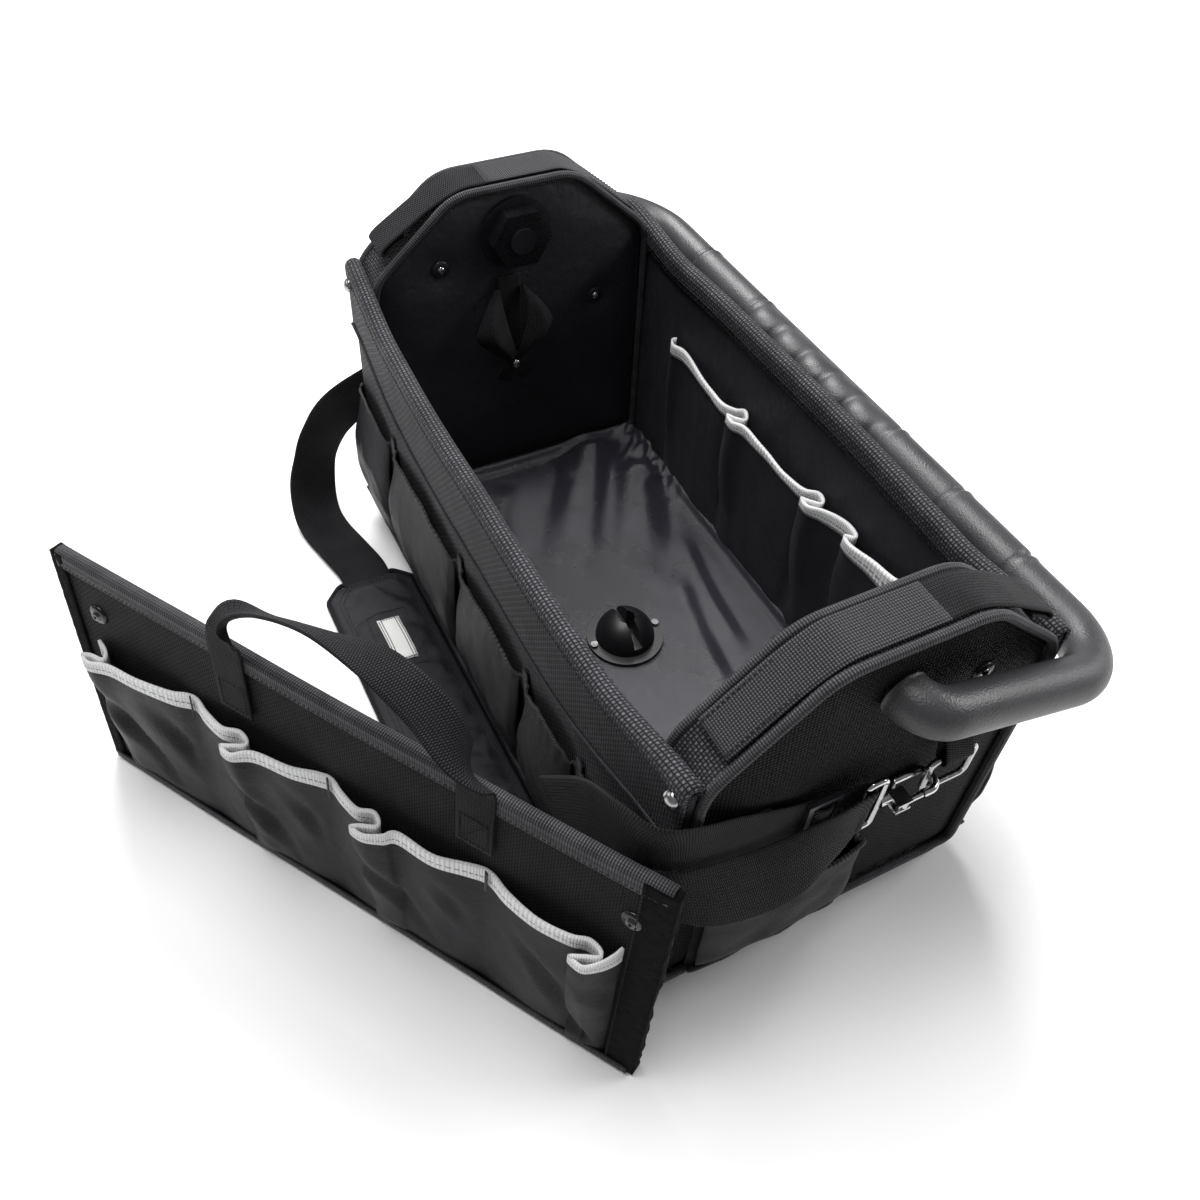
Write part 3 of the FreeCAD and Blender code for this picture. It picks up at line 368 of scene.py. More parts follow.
# ---------------------------------------------------------------- materials
class Paint:
    """A procedural material being built: a Principled shader and the nodes that feed it."""

    def __init__(self, name, roughness, metallic=0.0, sheen=0.0, coat=0.0, specular=0.5):
        self.material = bpy.data.materials.new(name)
        self.material.use_nodes = True
        self.tree = self.material.node_tree
        self.shader = self.tree.nodes["Principled BSDF"]
        fixed = {"Roughness": roughness, "Metallic": metallic, "Sheen Weight": sheen,
                 "Coat Weight": coat, "Specular IOR Level": specular}
        for socket, value in fixed.items():
            self.shader.inputs[socket].default_value = value
        self.shader.inputs["Sheen Roughness"].default_value = 0.4
        self.shader.inputs["Coat Roughness"].default_value = 0.12

    def node(self, kind, inputs, **settings):
        made = self.tree.nodes.new(kind)
        for key, value in settings.items():
            setattr(made, key, value)
        for key, value in inputs.items():
            if isinstance(value, bpy.types.NodeSocket):
                self.tree.links.new(value, made.inputs[key])
            else:
                made.inputs[key].default_value = value
        return made

    def maths(self, operation, a, b=0.0, c=0.0):
        return self.node("ShaderNodeMath", {0: a, 1: b, 2: c}, operation=operation).outputs[0]

    def times(self, a, b):
        return self.maths("MULTIPLY", a, b)

    def cloth(self, pitch_u, pitch_v):
        """Thread coordinates: cloth lengths divided by the thread pitches."""
        raw = self.node("ShaderNodeUVMap", {}, uv_map="cloth").outputs[0]
        scaled = self.node("ShaderNodeVectorMath", {0: raw, 1: (1 / pitch_u, 1 / pitch_v, 1)},
                           operation="MULTIPLY").outputs[0]
        split = self.node("ShaderNodeSeparateXYZ", {0: scaled})
        return split.outputs[0], split.outputs[1]

    def place(self):
        return self.node("ShaderNodeTexCoord", {}).outputs["Object"]

    def noise(self, scale, detail=3.0, rough=0.5, where=None):
        return self.node("ShaderNodeTexNoise", {"Vector": where or self.place(), "Scale": scale,
                                                "Detail": detail, "Roughness": rough}).outputs[0]

    def ridge(self, value, power=0.6):
        """A rounded thread: 0 at whole numbers, 1 half-way between."""
        turn = self.times(value, math.pi)
        wave = self.maths("ABSOLUTE", self.maths("SINE", turn))
        return self.maths("POWER", wave, power)

    def blend(self, share, a, b):
        """A number between two numbers."""
        return self.node("ShaderNodeMix", {0: share, 2: a, 3: b}, data_type="FLOAT").outputs[0]

    def ramp(self, value, stops):
        made = self.node("ShaderNodeValToRGB", {0: value})
        ramp = made.color_ramp
        for number, (where, colour) in enumerate(stops):
            stop = ramp.elements[number] if number < 2 else ramp.elements.new(where)
            stop.position = where
            stop.color = (*colour, 1)
        return made.outputs[0]

    def spread(self, value, low, high, to_low, to_high):
        ends = {0: value, 1: low, 2: high, 3: to_low, 4: to_high}
        return self.node("ShaderNodeMapRange", ends).outputs[0]

    def between(self, value, to_low, to_high):
        """A value from 0 to 1, stretched to between two numbers."""
        return self.spread(value, 0, 1, to_low, to_high)

    def patchy(self, value, to_low, to_high):
        """Noise, whose values mostly lie from 0.3 to 0.7, stretched to between two numbers."""
        return self.spread(value, 0.3, 0.7, to_low, to_high)

    def finish(self, colour, height=None, depth=0.0003, roughness=None, extra=()):
        links = self.tree.links
        links.new(colour, self.shader.inputs["Base Color"])
        if roughness is not None:
            links.new(roughness, self.shader.inputs["Roughness"])
        normal = None
        for relief, size in [(height, depth), *extra]:
            if relief is None:
                continue
            inputs = {"Height": relief, "Distance": size, "Strength": 1.0}
            if normal is not None:
                inputs["Normal"] = normal
            normal = self.node("ShaderNodeBump", inputs).outputs[0]
        if normal is not None:
            links.new(normal, self.shader.inputs["Normal"])
        return self.material


def tint(grey, blue=0.0):
    """A near-neutral colour, a little to the violet."""
    return (grey, grey * (1 - 0.05 * blue), grey * (1 + 0.4 * blue))


def ballistic_weave(name, pitch=0.0024, dark=0.0012, light=0.15, specular=0.3):
    """Basket weave of thick paired yarns, each crossing over and under, its colour painted darker in the
    gaps and lighter on the crowns as shade and highlight.
    """
    p = Paint(name, 0.55, sheen=0.03, specular=specular)
    u, v = p.cloth(pitch, pitch)
    cell = p.maths("FLOORED_MODULO", p.maths("ADD", p.maths("FLOOR", u), p.maths("FLOOR", v)), 2.0)
    arch_u, arch_v = p.ridge(u, 0.7), p.ridge(v, 0.7)
    pair_u = p.ridge(p.times(u, 2.0), 0.7)
    pair_v = p.ridge(p.times(v, 2.0), 0.7)
    warp = p.times(arch_v, p.blend(0.25, arch_u, pair_u))
    weft = p.times(arch_u, p.blend(0.25, arch_v, pair_v))
    height = p.blend(cell, warp, p.times(weft, 0.72))
    fibre = p.noise(2600.0, 2.0)
    wear = p.noise(45.0, 4.0, 0.6)
    # Colour follows the yarn height: painted shade in the gaps between yarns and a painted highlight on
    # their crowns; the fibre and wear noises add random tone.
    tone = p.times(height, p.patchy(fibre, 0.6, 1.1))
    tone = p.times(tone, p.patchy(wear, 0.75, 1.1))
    colour = p.ramp(tone, [(0.2, tint(dark, 0.4)), (0.55, tint(light * 0.3, 0.4)),
                           (1.0, tint(light, 0.3))])
    rough = p.between(height, 0.8, 0.5)
    return p.finish(colour, height, 0.0009, rough, extra=[(wear, 0.0006)])


def satin_nylon(name, dark, light, roughness, wrinkle, specular=0.5, sheen=0.0):
    """Smooth coated nylon: fine plain weave under a soft shine, with small creases."""
    p = Paint(name, roughness, sheen=sheen, specular=specular)
    u, v = p.cloth(0.00075, 0.00075)
    weave = p.maths("ADD", p.ridge(u, 1.0), p.ridge(v, 1.0))
    large = p.noise(16.0, 5.0, 0.55)
    small = p.noise(75.0, 4.0, 0.6)
    # Colour is lighter on the yarn crowns and on the wrinkle crests that the same noise raises in the bump:
    # painted highlight, with painted shade in the hollows, over random tone.
    tone = p.maths("MULTIPLY_ADD", weave, 0.16, p.times(large, 0.8))
    colour = p.ramp(tone, [(0.25, tint(dark, 0.8)), (0.8, tint(light, 1.0))])
    rough = p.patchy(large, roughness + 0.08, roughness - 0.06)
    return p.finish(colour, weave, 0.00009, rough, extra=[(large, wrinkle), (small, wrinkle * 0.22)])


def ribbed_webbing(name, dark=0.0015, light=0.03, pitch=0.0015):
    """Heavy webbing: close ribs across it, stepped between its columns of warp."""
    p = Paint(name, 0.6, sheen=0.02, specular=0.12)
    u, v = p.cloth(pitch, 0.002)
    column = p.maths("FLOOR", v)
    rib = p.ridge(p.maths("MULTIPLY_ADD", column, 0.5, u), 0.8)
    edge = p.ridge(v, 0.5)
    height = p.times(rib, p.between(edge, 0.45, 1.0))
    fibre = p.noise(1900.0, 2.0)
    wear = p.noise(40.0, 3.0)
    # Colour follows the rib height: painted shade in the grooves and painted highlight on the ribs; fibre
    # and wear add random tone.
    tone = p.times(height, p.patchy(fibre, 0.65, 1.05))
    tone = p.times(tone, p.patchy(wear, 0.75, 1.1))
    colour = p.ramp(tone, [(0.2, tint(dark, 0.5)), (0.95, tint(light, 0.3))])
    return p.finish(colour, height, 0.0006, p.between(height, 0.85, 0.55))


def waffle_webbing(name):
    """Webbing sewn over and over: deep square cells, with ribs showing through."""
    p = Paint(name, 0.6, sheen=0.04, specular=0.25)
    u, v = p.cloth(0.0016, 0.0017)
    height = p.times(p.ridge(u, 0.7), p.between(p.ridge(v, 0.7), 0.3, 1.0))
    fibre = p.noise(1500.0, 2.0)
    # Colour follows the cell height: painted shade in the recesses and painted highlight on the ridges,
    # with random fibre tone.
    tone = p.times(height, p.patchy(fibre, 0.55, 1.1))
    colour = p.ramp(tone, [(0.15, tint(0.0025, 0.5)), (0.95, tint(0.075, 0.3))])
    return p.finish(colour, height, 0.0007, p.between(height, 0.85, 0.55))


def bound_tape(name, dark=0.003, light=0.075, pitch=0.0016):
    """Grosgrain binding: ribs across its length, with random worn patches; its colour is painted lighter on
    the rib crests and darker between them, as highlight and shade.
    """
    p = Paint(name, 0.55, sheen=0.04, specular=0.3)
    u, v = p.cloth(pitch, 0.0024)
    rib = p.times(p.ridge(u, 0.8), p.between(p.ridge(v, 0.7), 0.45, 1.0))
    wear = p.noise(60.0, 4.0, 0.6)
    fibre = p.noise(1800.0, 2.0)
    # Colour follows the rib height (painted highlight and shade), times random wear and fibre tone.
    tone = p.times(p.times(rib, p.patchy(wear, 0.65, 1.15)),
                   p.patchy(fibre, 0.7, 1.1))
    colour = p.ramp(tone, [(0.15, tint(dark, 0.5)), (1.0, tint(light, 0.3))])
    return p.finish(colour, rib, 0.0005, p.between(rib, 0.8, 0.5), extra=[(wear, 0.0006)])


def pale_elastic(name):
    """Light grey knitted elastic: ribs across it, and a dark line of stitching along its middle."""
    p = Paint(name, 0.7, sheen=0.15, specular=0.25)
    u, v = p.cloth(0.0017, 0.013)
    rib = p.ridge(u, 0.6)
    across = p.maths("ABSOLUTE", p.maths("SUBTRACT", v, 0.42))
    lines = p.between(p.ridge(p.times(v, 7.0), 0.5), 0.6, 1.0)
    grain = p.noise(900.0, 3.0)
    height = p.times(rib, lines)
    # Colour follows the rib height, painted shade between the ribs, with random grain; the dark middle line
    # below is real stitching.
    tone = p.times(p.between(height, 0.55, 1.0), p.patchy(grain, 0.85, 1.05))
    thread = p.times(p.spread(across, 0.03, 0.06, 1.0, 0.0),
                     p.maths("GREATER_THAN", p.maths("FRACT", p.times(u, 0.55)), 0.3))
    tone = p.times(tone, p.between(thread, 1.0, 0.2))
    colour = p.ramp(tone, [(0.0, (0.04, 0.04, 0.042)), (0.4, (0.45, 0.46, 0.47)),
                           (1.0, (0.93, 0.93, 0.92))])
    return p.finish(colour, height, 0.0004)


def fuzzy_tape(name):
    """Hooked fastening tape: stubble without shine."""
    p = Paint(name, 0.95, sheen=0.04, specular=0.05)
    fuzz = p.noise(1100.0, 3.0, 0.7)
    clump = p.noise(180.0, 4.0, 0.6)
    colour = p.ramp(p.times(fuzz, clump), [(0.1, tint(0.0012)), (0.45, tint(0.009))])
    return p.finish(colour, fuzz, 0.0007, extra=[(clump, 0.0006)])


def grained_plastic(name, grey=0.03, roughness=0.38, grain=420.0, depth=0.00022):
    """Moulded plastic with a pebbled grain and rubbed high spots."""
    p = Paint(name, roughness, specular=0.5)
    cells = p.node("ShaderNodeTexVoronoi", {"Vector": p.place(), "Scale": grain, "Smoothness": 0.6},
                   feature="SMOOTH_F1").outputs["Distance"]
    fine = p.noise(grain * 2.2, 2.0)
    rub = p.noise(22.0, 4.0, 0.6)
    height = p.maths("ADD", cells, p.times(fine, 0.35))
    colour = p.ramp(p.maths("MULTIPLY_ADD", cells, 0.35, rub),
                    [(0.3, tint(grey * 0.8, 0.25)), (0.85, tint(grey * 1.35, 0.2))])
    rough = p.patchy(rub, roughness - 0.05, roughness + 0.1)
    return p.finish(colour, height, depth, rough)


def gloss_plastic(name, grey=0.009, roughness=0.2):
    """Glossy moulding with faint scratches and flow marks."""
    p = Paint(name, roughness, specular=0.4)
    flow = p.noise(35.0, 4.0, 0.6)
    drawn_out = p.node("ShaderNodeVectorMath", {0: p.place(), 1: (2400.0, 400.0, 1600.0)},
                       operation="MULTIPLY").outputs[0]
    scratch = p.node("ShaderNodeTexNoise", {"Vector": drawn_out, "Scale": 1.0}).outputs[0]
    colour = p.ramp(flow, [(0.3, tint(grey * 0.7, 0.4)), (0.75, tint(grey * 1.6, 0.5))])
    rough = p.patchy(scratch, roughness, roughness + 0.03)
    return p.finish(colour, scratch, 0.000002, rough)


def worn_metal(name, grey, roughness, warm=0.0):
    """Plated metal with small scratches and cloudy patches."""
    p = Paint(name, roughness, metallic=1.0)
    cloud = p.noise(120.0, 4.0, 0.6)
    scratch = p.noise(1400.0, 2.0)
    colour = p.ramp(cloud, [(0.3, (grey * 0.75, grey * (0.75 - warm), grey * (0.75 - 2 * warm))),
                            (0.7, (grey, grey * (1 - warm), grey * (1 - 2 * warm)))])
    rough = p.patchy(cloud, roughness * 0.7, roughness * 1.6)
    return p.finish(colour, scratch, 0.00004, rough)


LABEL_SIZE = (46.0, 18.0)


def woven_label(name):
    """Plain pale woven patch with a thin dark line along each long edge."""
    p = Paint(name, 0.7, sheen=0.1, specular=0.25)
    u, v = p.cloth(0.001, 0.001)
    weave = p.times(p.ridge(p.times(u, 2.2), 0.8),
                    p.ridge(p.times(v, 2.2), 0.8))
    from_middle = p.maths("ABSOLUTE", p.maths("SUBTRACT", v, LABEL_SIZE[1] / 2))
    lines = p.maths("COMPARE", from_middle, LABEL_SIZE[1] / 2 - 3.2, 0.35)
    # The weave darkens the colour a little in its gaps, which is painted shade; the edge lines are print.
    tone = p.times(p.between(weave, 0.82, 1.0), p.between(lines, 1.0, 0.08))
    colour = p.ramp(tone, [(0.0, (0.01, 0.01, 0.01)), (1.0, (0.9, 0.9, 0.88))])
    return p.finish(colour, weave, 0.0002)


WEAVE = ballistic_weave("weave", light=0.19)
FINE_WEAVE = ballistic_weave("fine_weave", pitch=0.0018, light=0.05, specular=0.12)
# The ballistic weave again with its colour darkened: painted shade for the outer faces of the end panels.
SHADE_DARKENED_WEAVE = ballistic_weave("shade_darkened_weave", pitch=0.0022, light=0.01, specular=0.08)
LINING = satin_nylon("lining", 0.006, 0.016, 0.42, 0.003, sheen=0.04)
POCKET_CLOTH = satin_nylon("pocket_cloth", 0.0025, 0.0075, 0.36, 0.003, specular=0.14)
PAD_CLOTH = satin_nylon("pad_cloth", 0.0035, 0.009, 0.42, 0.0018, specular=0.25)
FLOOR_CLOTH = satin_nylon("floor_cloth", 0.008, 0.022, 0.25, 0.0003, specular=0.6, sheen=0.04)
WEBBING = ribbed_webbing("webbing")
WAFFLE = waffle_webbing("waffle")
TAPE = bound_tape("tape")
ELASTIC = pale_elastic("elastic")
FUZZ = fuzzy_tape("fuzz")
HANDLE_PLASTIC = grained_plastic("handle_plastic", grey=0.03, roughness=0.4, grain=900.0, depth=0.00016)
GLOSS = gloss_plastic("gloss", grey=0.006, roughness=0.26)
DOME_PLASTIC = gloss_plastic("dome_plastic", grey=0.006, roughness=0.4)
SOFT_GLOSS = gloss_plastic("soft_gloss", grey=0.012, roughness=0.3)
NICKEL = worn_metal("nickel", 0.5, 0.2)
CHROME = worn_metal("chrome", 0.7, 0.12)
DARK_METAL = worn_metal("dark_metal", 0.12, 0.28)
LABEL = woven_label("label")
THREAD = bound_tape("thread", dark=0.012, light=0.1)


# ---------------------------------------------------------------- walls
HALF, HALF_WIDE = 250.0, 124.0
WALL_UP = 208.0
RIGHT_WALL = Matrix.Translation((0, HALF_WIDE, 20)) @ Matrix.Rotation(math.atan2(4, WALL_UP), 4, "X")
WALLS = {"right": RIGHT_WALL, "left": Matrix.Rotation(math.pi, 4, "Z") @ RIGHT_WALL}
SEEDS = {"right": 1.5, "left": 5.5}


def wall(side, x, out, up):
    """A point on a long wall: x along the bag, out from its outer face, up from its foot.
    The wall bows outward between the ends and rises to them."""
    share = max(up, 0.0) / WALL_UP
    out += 9 * (1 - (x / HALF) ** 2) * share ** 1.5
    out += 1.3 * ripple(x, up, 0, 95, SEEDS[side]) * share * (1 - step(abs(x), 215, HALF))
    up += 13 * step(abs(x), 160, HALF) * share ** 2
    return WALLS[side] @ Vector((x if side == "right" else -x, out, up))


def wall_sheet(side, plan, ups, thickness, shape=None):
    """A sheet on a wall: plan is its (x, out) line seen from above, ups its heights."""
    rows, cols = len(plan) - 1, len(ups) - 1
    long = lengths([Vector((x, o, 0)) for x, o in plan])[-1]

    def point(a, b):
        x, out = plan[round(a * rows)]
        up = ups[round(b * cols)]
        if shape:
            x, out, up = shape(a, x, out, up)
        return wall(side, x, out, up)

    part = grid(rows, cols, point, (long, ups[-1] - ups[0]), flip=side == "right")
    return sheet_of(part, thickness)


def span(low, high, count):
    return [low + (high - low) * k / count for k in range(count + 1)]


def band_foot(x):
    """How far down the band reaches on the outside of a wall."""
    return 142 + 18 * step(abs(x), 110, 245)


def band_section(b, grow, low_in, low_out):
    """The strip folded over the top of a wall, seen along the wall; b runs from inside to outside."""
    line = [(-8.3 - grow, low_in), (-8.5 - grow, 200)]
    line += [(-3.3 - (5.2 + grow) * math.cos(t), 204.5 + (4.4 + grow) * math.sin(t))
             for t in span(0, math.pi, 8)]
    line += [(1.9 + grow, z) for z in span(200, low_out, 12)]
    spot = even([Vector((out, up, 0)) for out, up in line], 31)[round(b * 30)]
    return spot.x, spot.y


def folded_strip(side, grow, low_in, low_out, thickness, tall):
    """Cloth folded over the top of a wall, down to low_in inside and low_out(x) outside."""
    def point(a, b):
        x = -HALF + 2 * HALF * a
        return wall(side, x, *band_section(b, grow, low_in, low_out(x)))
    return sheet_of(grid(100, 30, point, (2 * HALF, tall), flip=side == "left"), thickness)


def build_wall(side):
    seed = SEEDS[side]
    edge = [(-243, -6.6), (-247.5, -6.4), (-249.6, -5), (-250, -3), (-249.4, -1), (-247.5, -0.2)]
    plan = edge + [(x, 0.0) for x in span(-244, 244, 70)] + [(-x, o) for x, o in reversed(edge)]
    piece("side_skin_sewn_" + side, *wall_sheet(side, plan, span(0.5, 205, 26), 1.6), WEAVE,
          ["side_skin_" + side, "side_board_" + side], "ballistic_weave")

    def slack(a, x, out, up):
        soft = math.sin(math.pi * min(1.0, up / 200)) * (1 - step(abs(x), 190, 245))
        folds = 2.2 * ripple(x, up * 0.6, 0, 52, seed + 3) + 1.2 * crease(x, up * 0.7, 34, seed)
        return x, out - soft * (1.4 + folds), up

    back = [(x, -5.4) for x in span(-248, 248, 110)]
    piece("side_lining_sewn_" + side, *wall_sheet(side, back, span(6, 204, 44), -1.2, slack), LINING,
          ["side_lining_" + side], "lining_cloth")
    piece("side_band_sewn_" + side, *folded_strip(side, 0.0, 190, band_foot, 1.4, 84), WEAVE,
          ["side_band_" + side], "ballistic_weave")
    piece("side_rim_" + side, *folded_strip(side, 1.1, 195, lambda x: 198.5, 1.0, 28), WEAVE,
          slot="binding")

    rows = []
    outward = WALLS[side].to_3x3() @ Y
    for out, up_at in ((2.2, lambda x: band_foot(x) + 3.5), (3.3, lambda x: 200.2),
                       (-9.6, lambda x: 196.8)):
        line = [wall(side, x, out, up_at(x)) for x in span(-246, 246, 60)]
        rows.append(stitches(line, outward))
    piece("side_stitches_" + side, *join(rows), THREAD, slot="binding")
    foot = [wall(side, x, 2.4, band_foot(x) + 0.5) for x in span(-HALF, HALF, 60)]
    piece("side_band_fold_" + side, *rod(foot, 1.2, 8), TAPE, slot="binding")


def pleated(side_point, plan, ups, swell, thickness, droop=None, flip=False, pressed=0.0):
    """A gathered sheet: plan is its (x, out, base x) line; swell(up) is how far it stands out, and
    pressed is the least share of its pleats that stays folded."""
    rows, cols = len(plan) - 1, len(ups) - 1
    long = lengths([Vector((x, o, 0)) for x, o, _ in plan])[-1]

    def point(a, b):
        x, out, base = plan[round(a * rows)]
        up = ups[round(b * cols)]
        k = swell(up)
        if droop:
            up += droop(x, out) * step(up, ups[0], ups[-1])
        return side_point(base + (x - base) * max(k, pressed), 0.8 + out * k, up)
    return sheet_of(grid(rows, cols, point, (long, ups[-1] - ups[0]), flip=flip), thickness)


def with_base(plan):
    """Adds to each (x, out) of a folded line where it lies when spread flat and even."""
    line = [Vector((x, o, 0)) for x, o in plan]
    run = lengths(line)
    first, last = plan[0][0], plan[-1][0]
    return [(x, o, first + (last - first) * r / run[-1]) for (x, o), r in zip(plan, run)]


def folded_line(points, per_span=6):
    return [(p.x, p.y) for p in curve_through([(x, o, 0) for x, o in points], per_span)]


POCKET_SEAMS = {"left": (-250, -168, -32, 78, 152, 250), "right": (-250, -150, -50, 50, 150, 250)}


POCKET_TOP = 112.0


def outer_pocket_plan(side):
    """The five pockets seen from above: a pleat beside each seam, and a full front."""
    plan = []
    for left, right in zip(POCKET_SEAMS[side], POCKET_SEAMS[side][1:]):
        full = 14.6 + 1.2 * ripple(left * 0.7, 0, 0, 40, SEEDS[side])
        shape = [(left + 0.5, 0.4), (left + 6, 4.6), (left + 1.6, 8), (left + 5.5, full - 2.4),
                 (left + 13, full)]
        shape += [(left + 13 + (right - left - 24) * k / 4, full + 1.2 * math.sin(math.pi * k / 4))
                  for k in (1, 2, 3)]
        shape += [(right - 11, full), (right - 4.6, full - 2.4), (right - 1.4, 8), (right - 6, 4.6),
                  (right - 0.5, 0.4)]
        plan += with_base(folded_line(shape, 5))
    return plan


def build_outer_pockets(side):
    """Five bellows pockets, closed on the wall along their tops and full lower down."""
    seed = SEEDS[side]
    seams = POCKET_SEAMS[side]

    def middle(x):
        """0 at a pocket's seams, 1 in its middle."""
        left = max([s for s in seams if s <= x] or [seams[0]])
        right = min([s for s in seams if s > x] or [seams[-1] + 1])
        return math.sin(math.pi * min(1.0, max(0.0, (x - left) / (right - left))))

    def swell(up):
        return 0.34 + 0.28 * step(up, 2, 13) + 0.38 * step(up, 10, 46) - 0.62 * step(up, 58, 116)

    def droop(x, out):
        return 8 * middle(x) ** 0.7 - 6 + 1.6 * ripple(x, 0, 0, 22, seed)

    def point(x, out, up):
        low = math.sin(math.pi * min(1.0, up / 104))
        pucker = 1.3 * step(up, 92, 112) * ripple(x * 1.7, up * 0.5, 0, 9, seed + 4)
        fold = 1.6 * low * crease(x + 0.5 * up, up * 0.5, 34, seed + 2) ** 2
        return wall(side, x, out + 1.2 * low * ripple(x, up, 0, 24, seed + 2) + pucker - fold, up)

    plan = outer_pocket_plan(side)
    part = pleated(point, plan, span(1, POCKET_TOP, 30), swell, 1.2, droop, flip=side == "right")
    piece("outer_pockets_sewn_" + side, *part, POCKET_CLOTH, ["outer_pockets_" + side],
          "ballistic_weave")
    hem = swell(POCKET_TOP)
    top = [point(b + (x - b) * hem, 0.8 + o * hem, POCKET_TOP + droop(x, o)) for x, o, b in plan[::2]]
    foot = [wall(side, x, 6.0 + 0.8 * ripple(x, 0, 0, 30), 2.5) for x in span(-248, 248, 60)]
    piece("outer_pocket_binding_" + side, *join([rod(top, 1.1, 8), rod(foot, 2.0, 8)]), TAPE,
          slot="binding")
    tapes = [strap([(wall(side, x, 1.6, up), X) for up in (3, 60, 118)], 7, 1.2, 6)
             for x in seams[1:-1]]
    piece("outer_pocket_seams_" + side, *join(tapes), TAPE, slot="binding")
    row = [point(x, 0.8 + 16.2 * swell(11), 11) for x in span(-240, 240, 80)]
    piece("outer_pocket_stitches_" + side, *stitches(row, WALLS[side].to_3x3() @ Y, 3.6, 2.6), THREAD,
          slot="binding")


INNER_FOLDS = {
    "right": [(-156, 0.5), (-158, 4), (-152, 7), (-140, 3.5), (-120, 5), (-92, 8), (-72, 9), (-60, 6),
              (-55, 2.2), (-48, 5), (-54, 9.5), (-62, 12.5), (-52, 14.5), (-40, 9), (-15, 8), (15, 8.5),
              (34, 7), (44, 2), (52, 5), (45, 9), (38, 12), (48, 14), (58, 9), (68, 5), (80, 2), (90, 3),
              (84, 8), (92, 10), (112, 8), (138, 7), (154, 4), (160, 0.5)],
    "left": [(-160, 0.5), (-150, 4), (-120, 8), (-80, 8), (-58, 5), (-52, 2), (-46, 5), (-52, 9), (-60, 12),
             (-48, 13), (-20, 9), (20, 9), (46, 6), (53, 2), (60, 5), (53, 9), (46, 12), (58, 13),
             (84, 9), (120, 9), (150, 4), (160, 0.5)],
}


def build_inner_pockets(side):
    """The gathered pockets inside a wall. Gives back the elastic along their top."""
    plan = with_base(folded_line(INNER_FOLDS[side], 6))
    seed = SEEDS[side] + 7

    def swell(up):
        return 0.2 + 0.8 * step(up, 10, 120)

    def point(x, out, up):
        return wall(side, x, -8.6 - out - 1.2 * ripple(x, up * 0.5, 0, 26, seed), up)

    def droop(x, out):
        return 11 * step(x, 40, 165) - 4 * math.sin(math.pi * (x + 160) / 107) ** 2 - 0.35 * out

    flip = side == "left"
    part = pleated(point, plan, span(11, 149, 34), swell, 1.1, droop, flip=flip)
    piece("inner_pockets_sewn_" + side, *part, LINING, ["inner_pockets_" + side], "lining_cloth")
    return pleated(lambda x, out, up: point(x, out + 0.9, up), plan, span(137.5, 150.5, 4),
                   lambda up: 1.0, 1.9, droop, flip=flip)


# ---------------------------------------------------------------- base and floor
def rounded_rectangle(half_x, half_y, radius, per_corner=8):
    out = []
    for sx, sy, start in ((1, 1, 0), (-1, 1, 90), (-1, -1, 180), (1, -1, 270)):
        for k in range(per_corner + 1):
            t = math.radians(start + 90 * k / per_corner)
            out.append((sx * (half_x - radius) + radius * math.cos(t),
                        sy * (half_y - radius) + radius * math.sin(t)))
    return out


def build_base():
    rings = [(7, 0.2), (3, 0.6), (1, 2.5), (0.2, 6), (0, 12), (0.4, 18), (2.5, 20.5), (9, 21)]
    outline = rounded_rectangle(HALF, HALF_WIDE, 15)
    count = len(outline)

    def point(a, b):
        inset, up = rings[round(a * (len(rings) - 1))]
        x, y = outline[round(b * count) % count]
        return Vector((x * (1 - inset / HALF), y * (1 - inset / HALF_WIDE), up))

    part = capped(grid(len(rings) - 1, count, point, (40, 1440), wrap=True), count)
    piece("base_tray_sewn", *part, WEAVE, ["base_tray"], "ballistic_weave")
    welt = [Vector((x * 1.004, y * 1.008, 20.5)) for x, y in even_ring(outline, 200)]
    piece("base_welt", *rod(welt, 2.4, 8, closed=True), TAPE, slot="binding")


def even_ring(outline, count):
    ring = [Vector((x, y, 0)) for x, y in outline]
    ring.append(ring[0])
    return [(p.x, p.y) for p in even(ring, count + 1)[:-1]]


# Long folds of the floor cloth: both ends, height and half-width of each.
FLOOR_FOLDS = (((-206, 44), (-172, 28), 2.4, 12), ((-80, 88), (60, 64), 2.8, 20),
               ((-40, 60), (92, 32), 4.6, 24), ((-150, -80), (-20, -96), 1.8, 18),
               ((90, -70), (190, -10), 2.2, 24), ((60, 90), (190, 70), 2.2, 18),
               ((-190, -20), (-120, -60), 2.0, 18))
# Where the cloth is drawn up into a wedge: its peak, its foot, and its height.
FLOOR_WEDGES = (((-200, 64), (-28, -44), 15), ((-156, 88), (-6, 6), 13))


# The cloth's half-length, half-width and height.
FLOOR_X, FLOOR_Y, FLOOR_UP = 217.0, 115.0, 29.4


def beside(x, y, start, end):
    """Where a point lies by a line: its share of the line's length, and its distance to one side."""
    dx, dy = end[0] - start[0], end[1] - start[1]
    long = math.hypot(dx, dy)
    x, y = x - start[0], y - start[1]
    return (x * dx + y * dy) / long ** 2, (y * dx - x * dy) / long


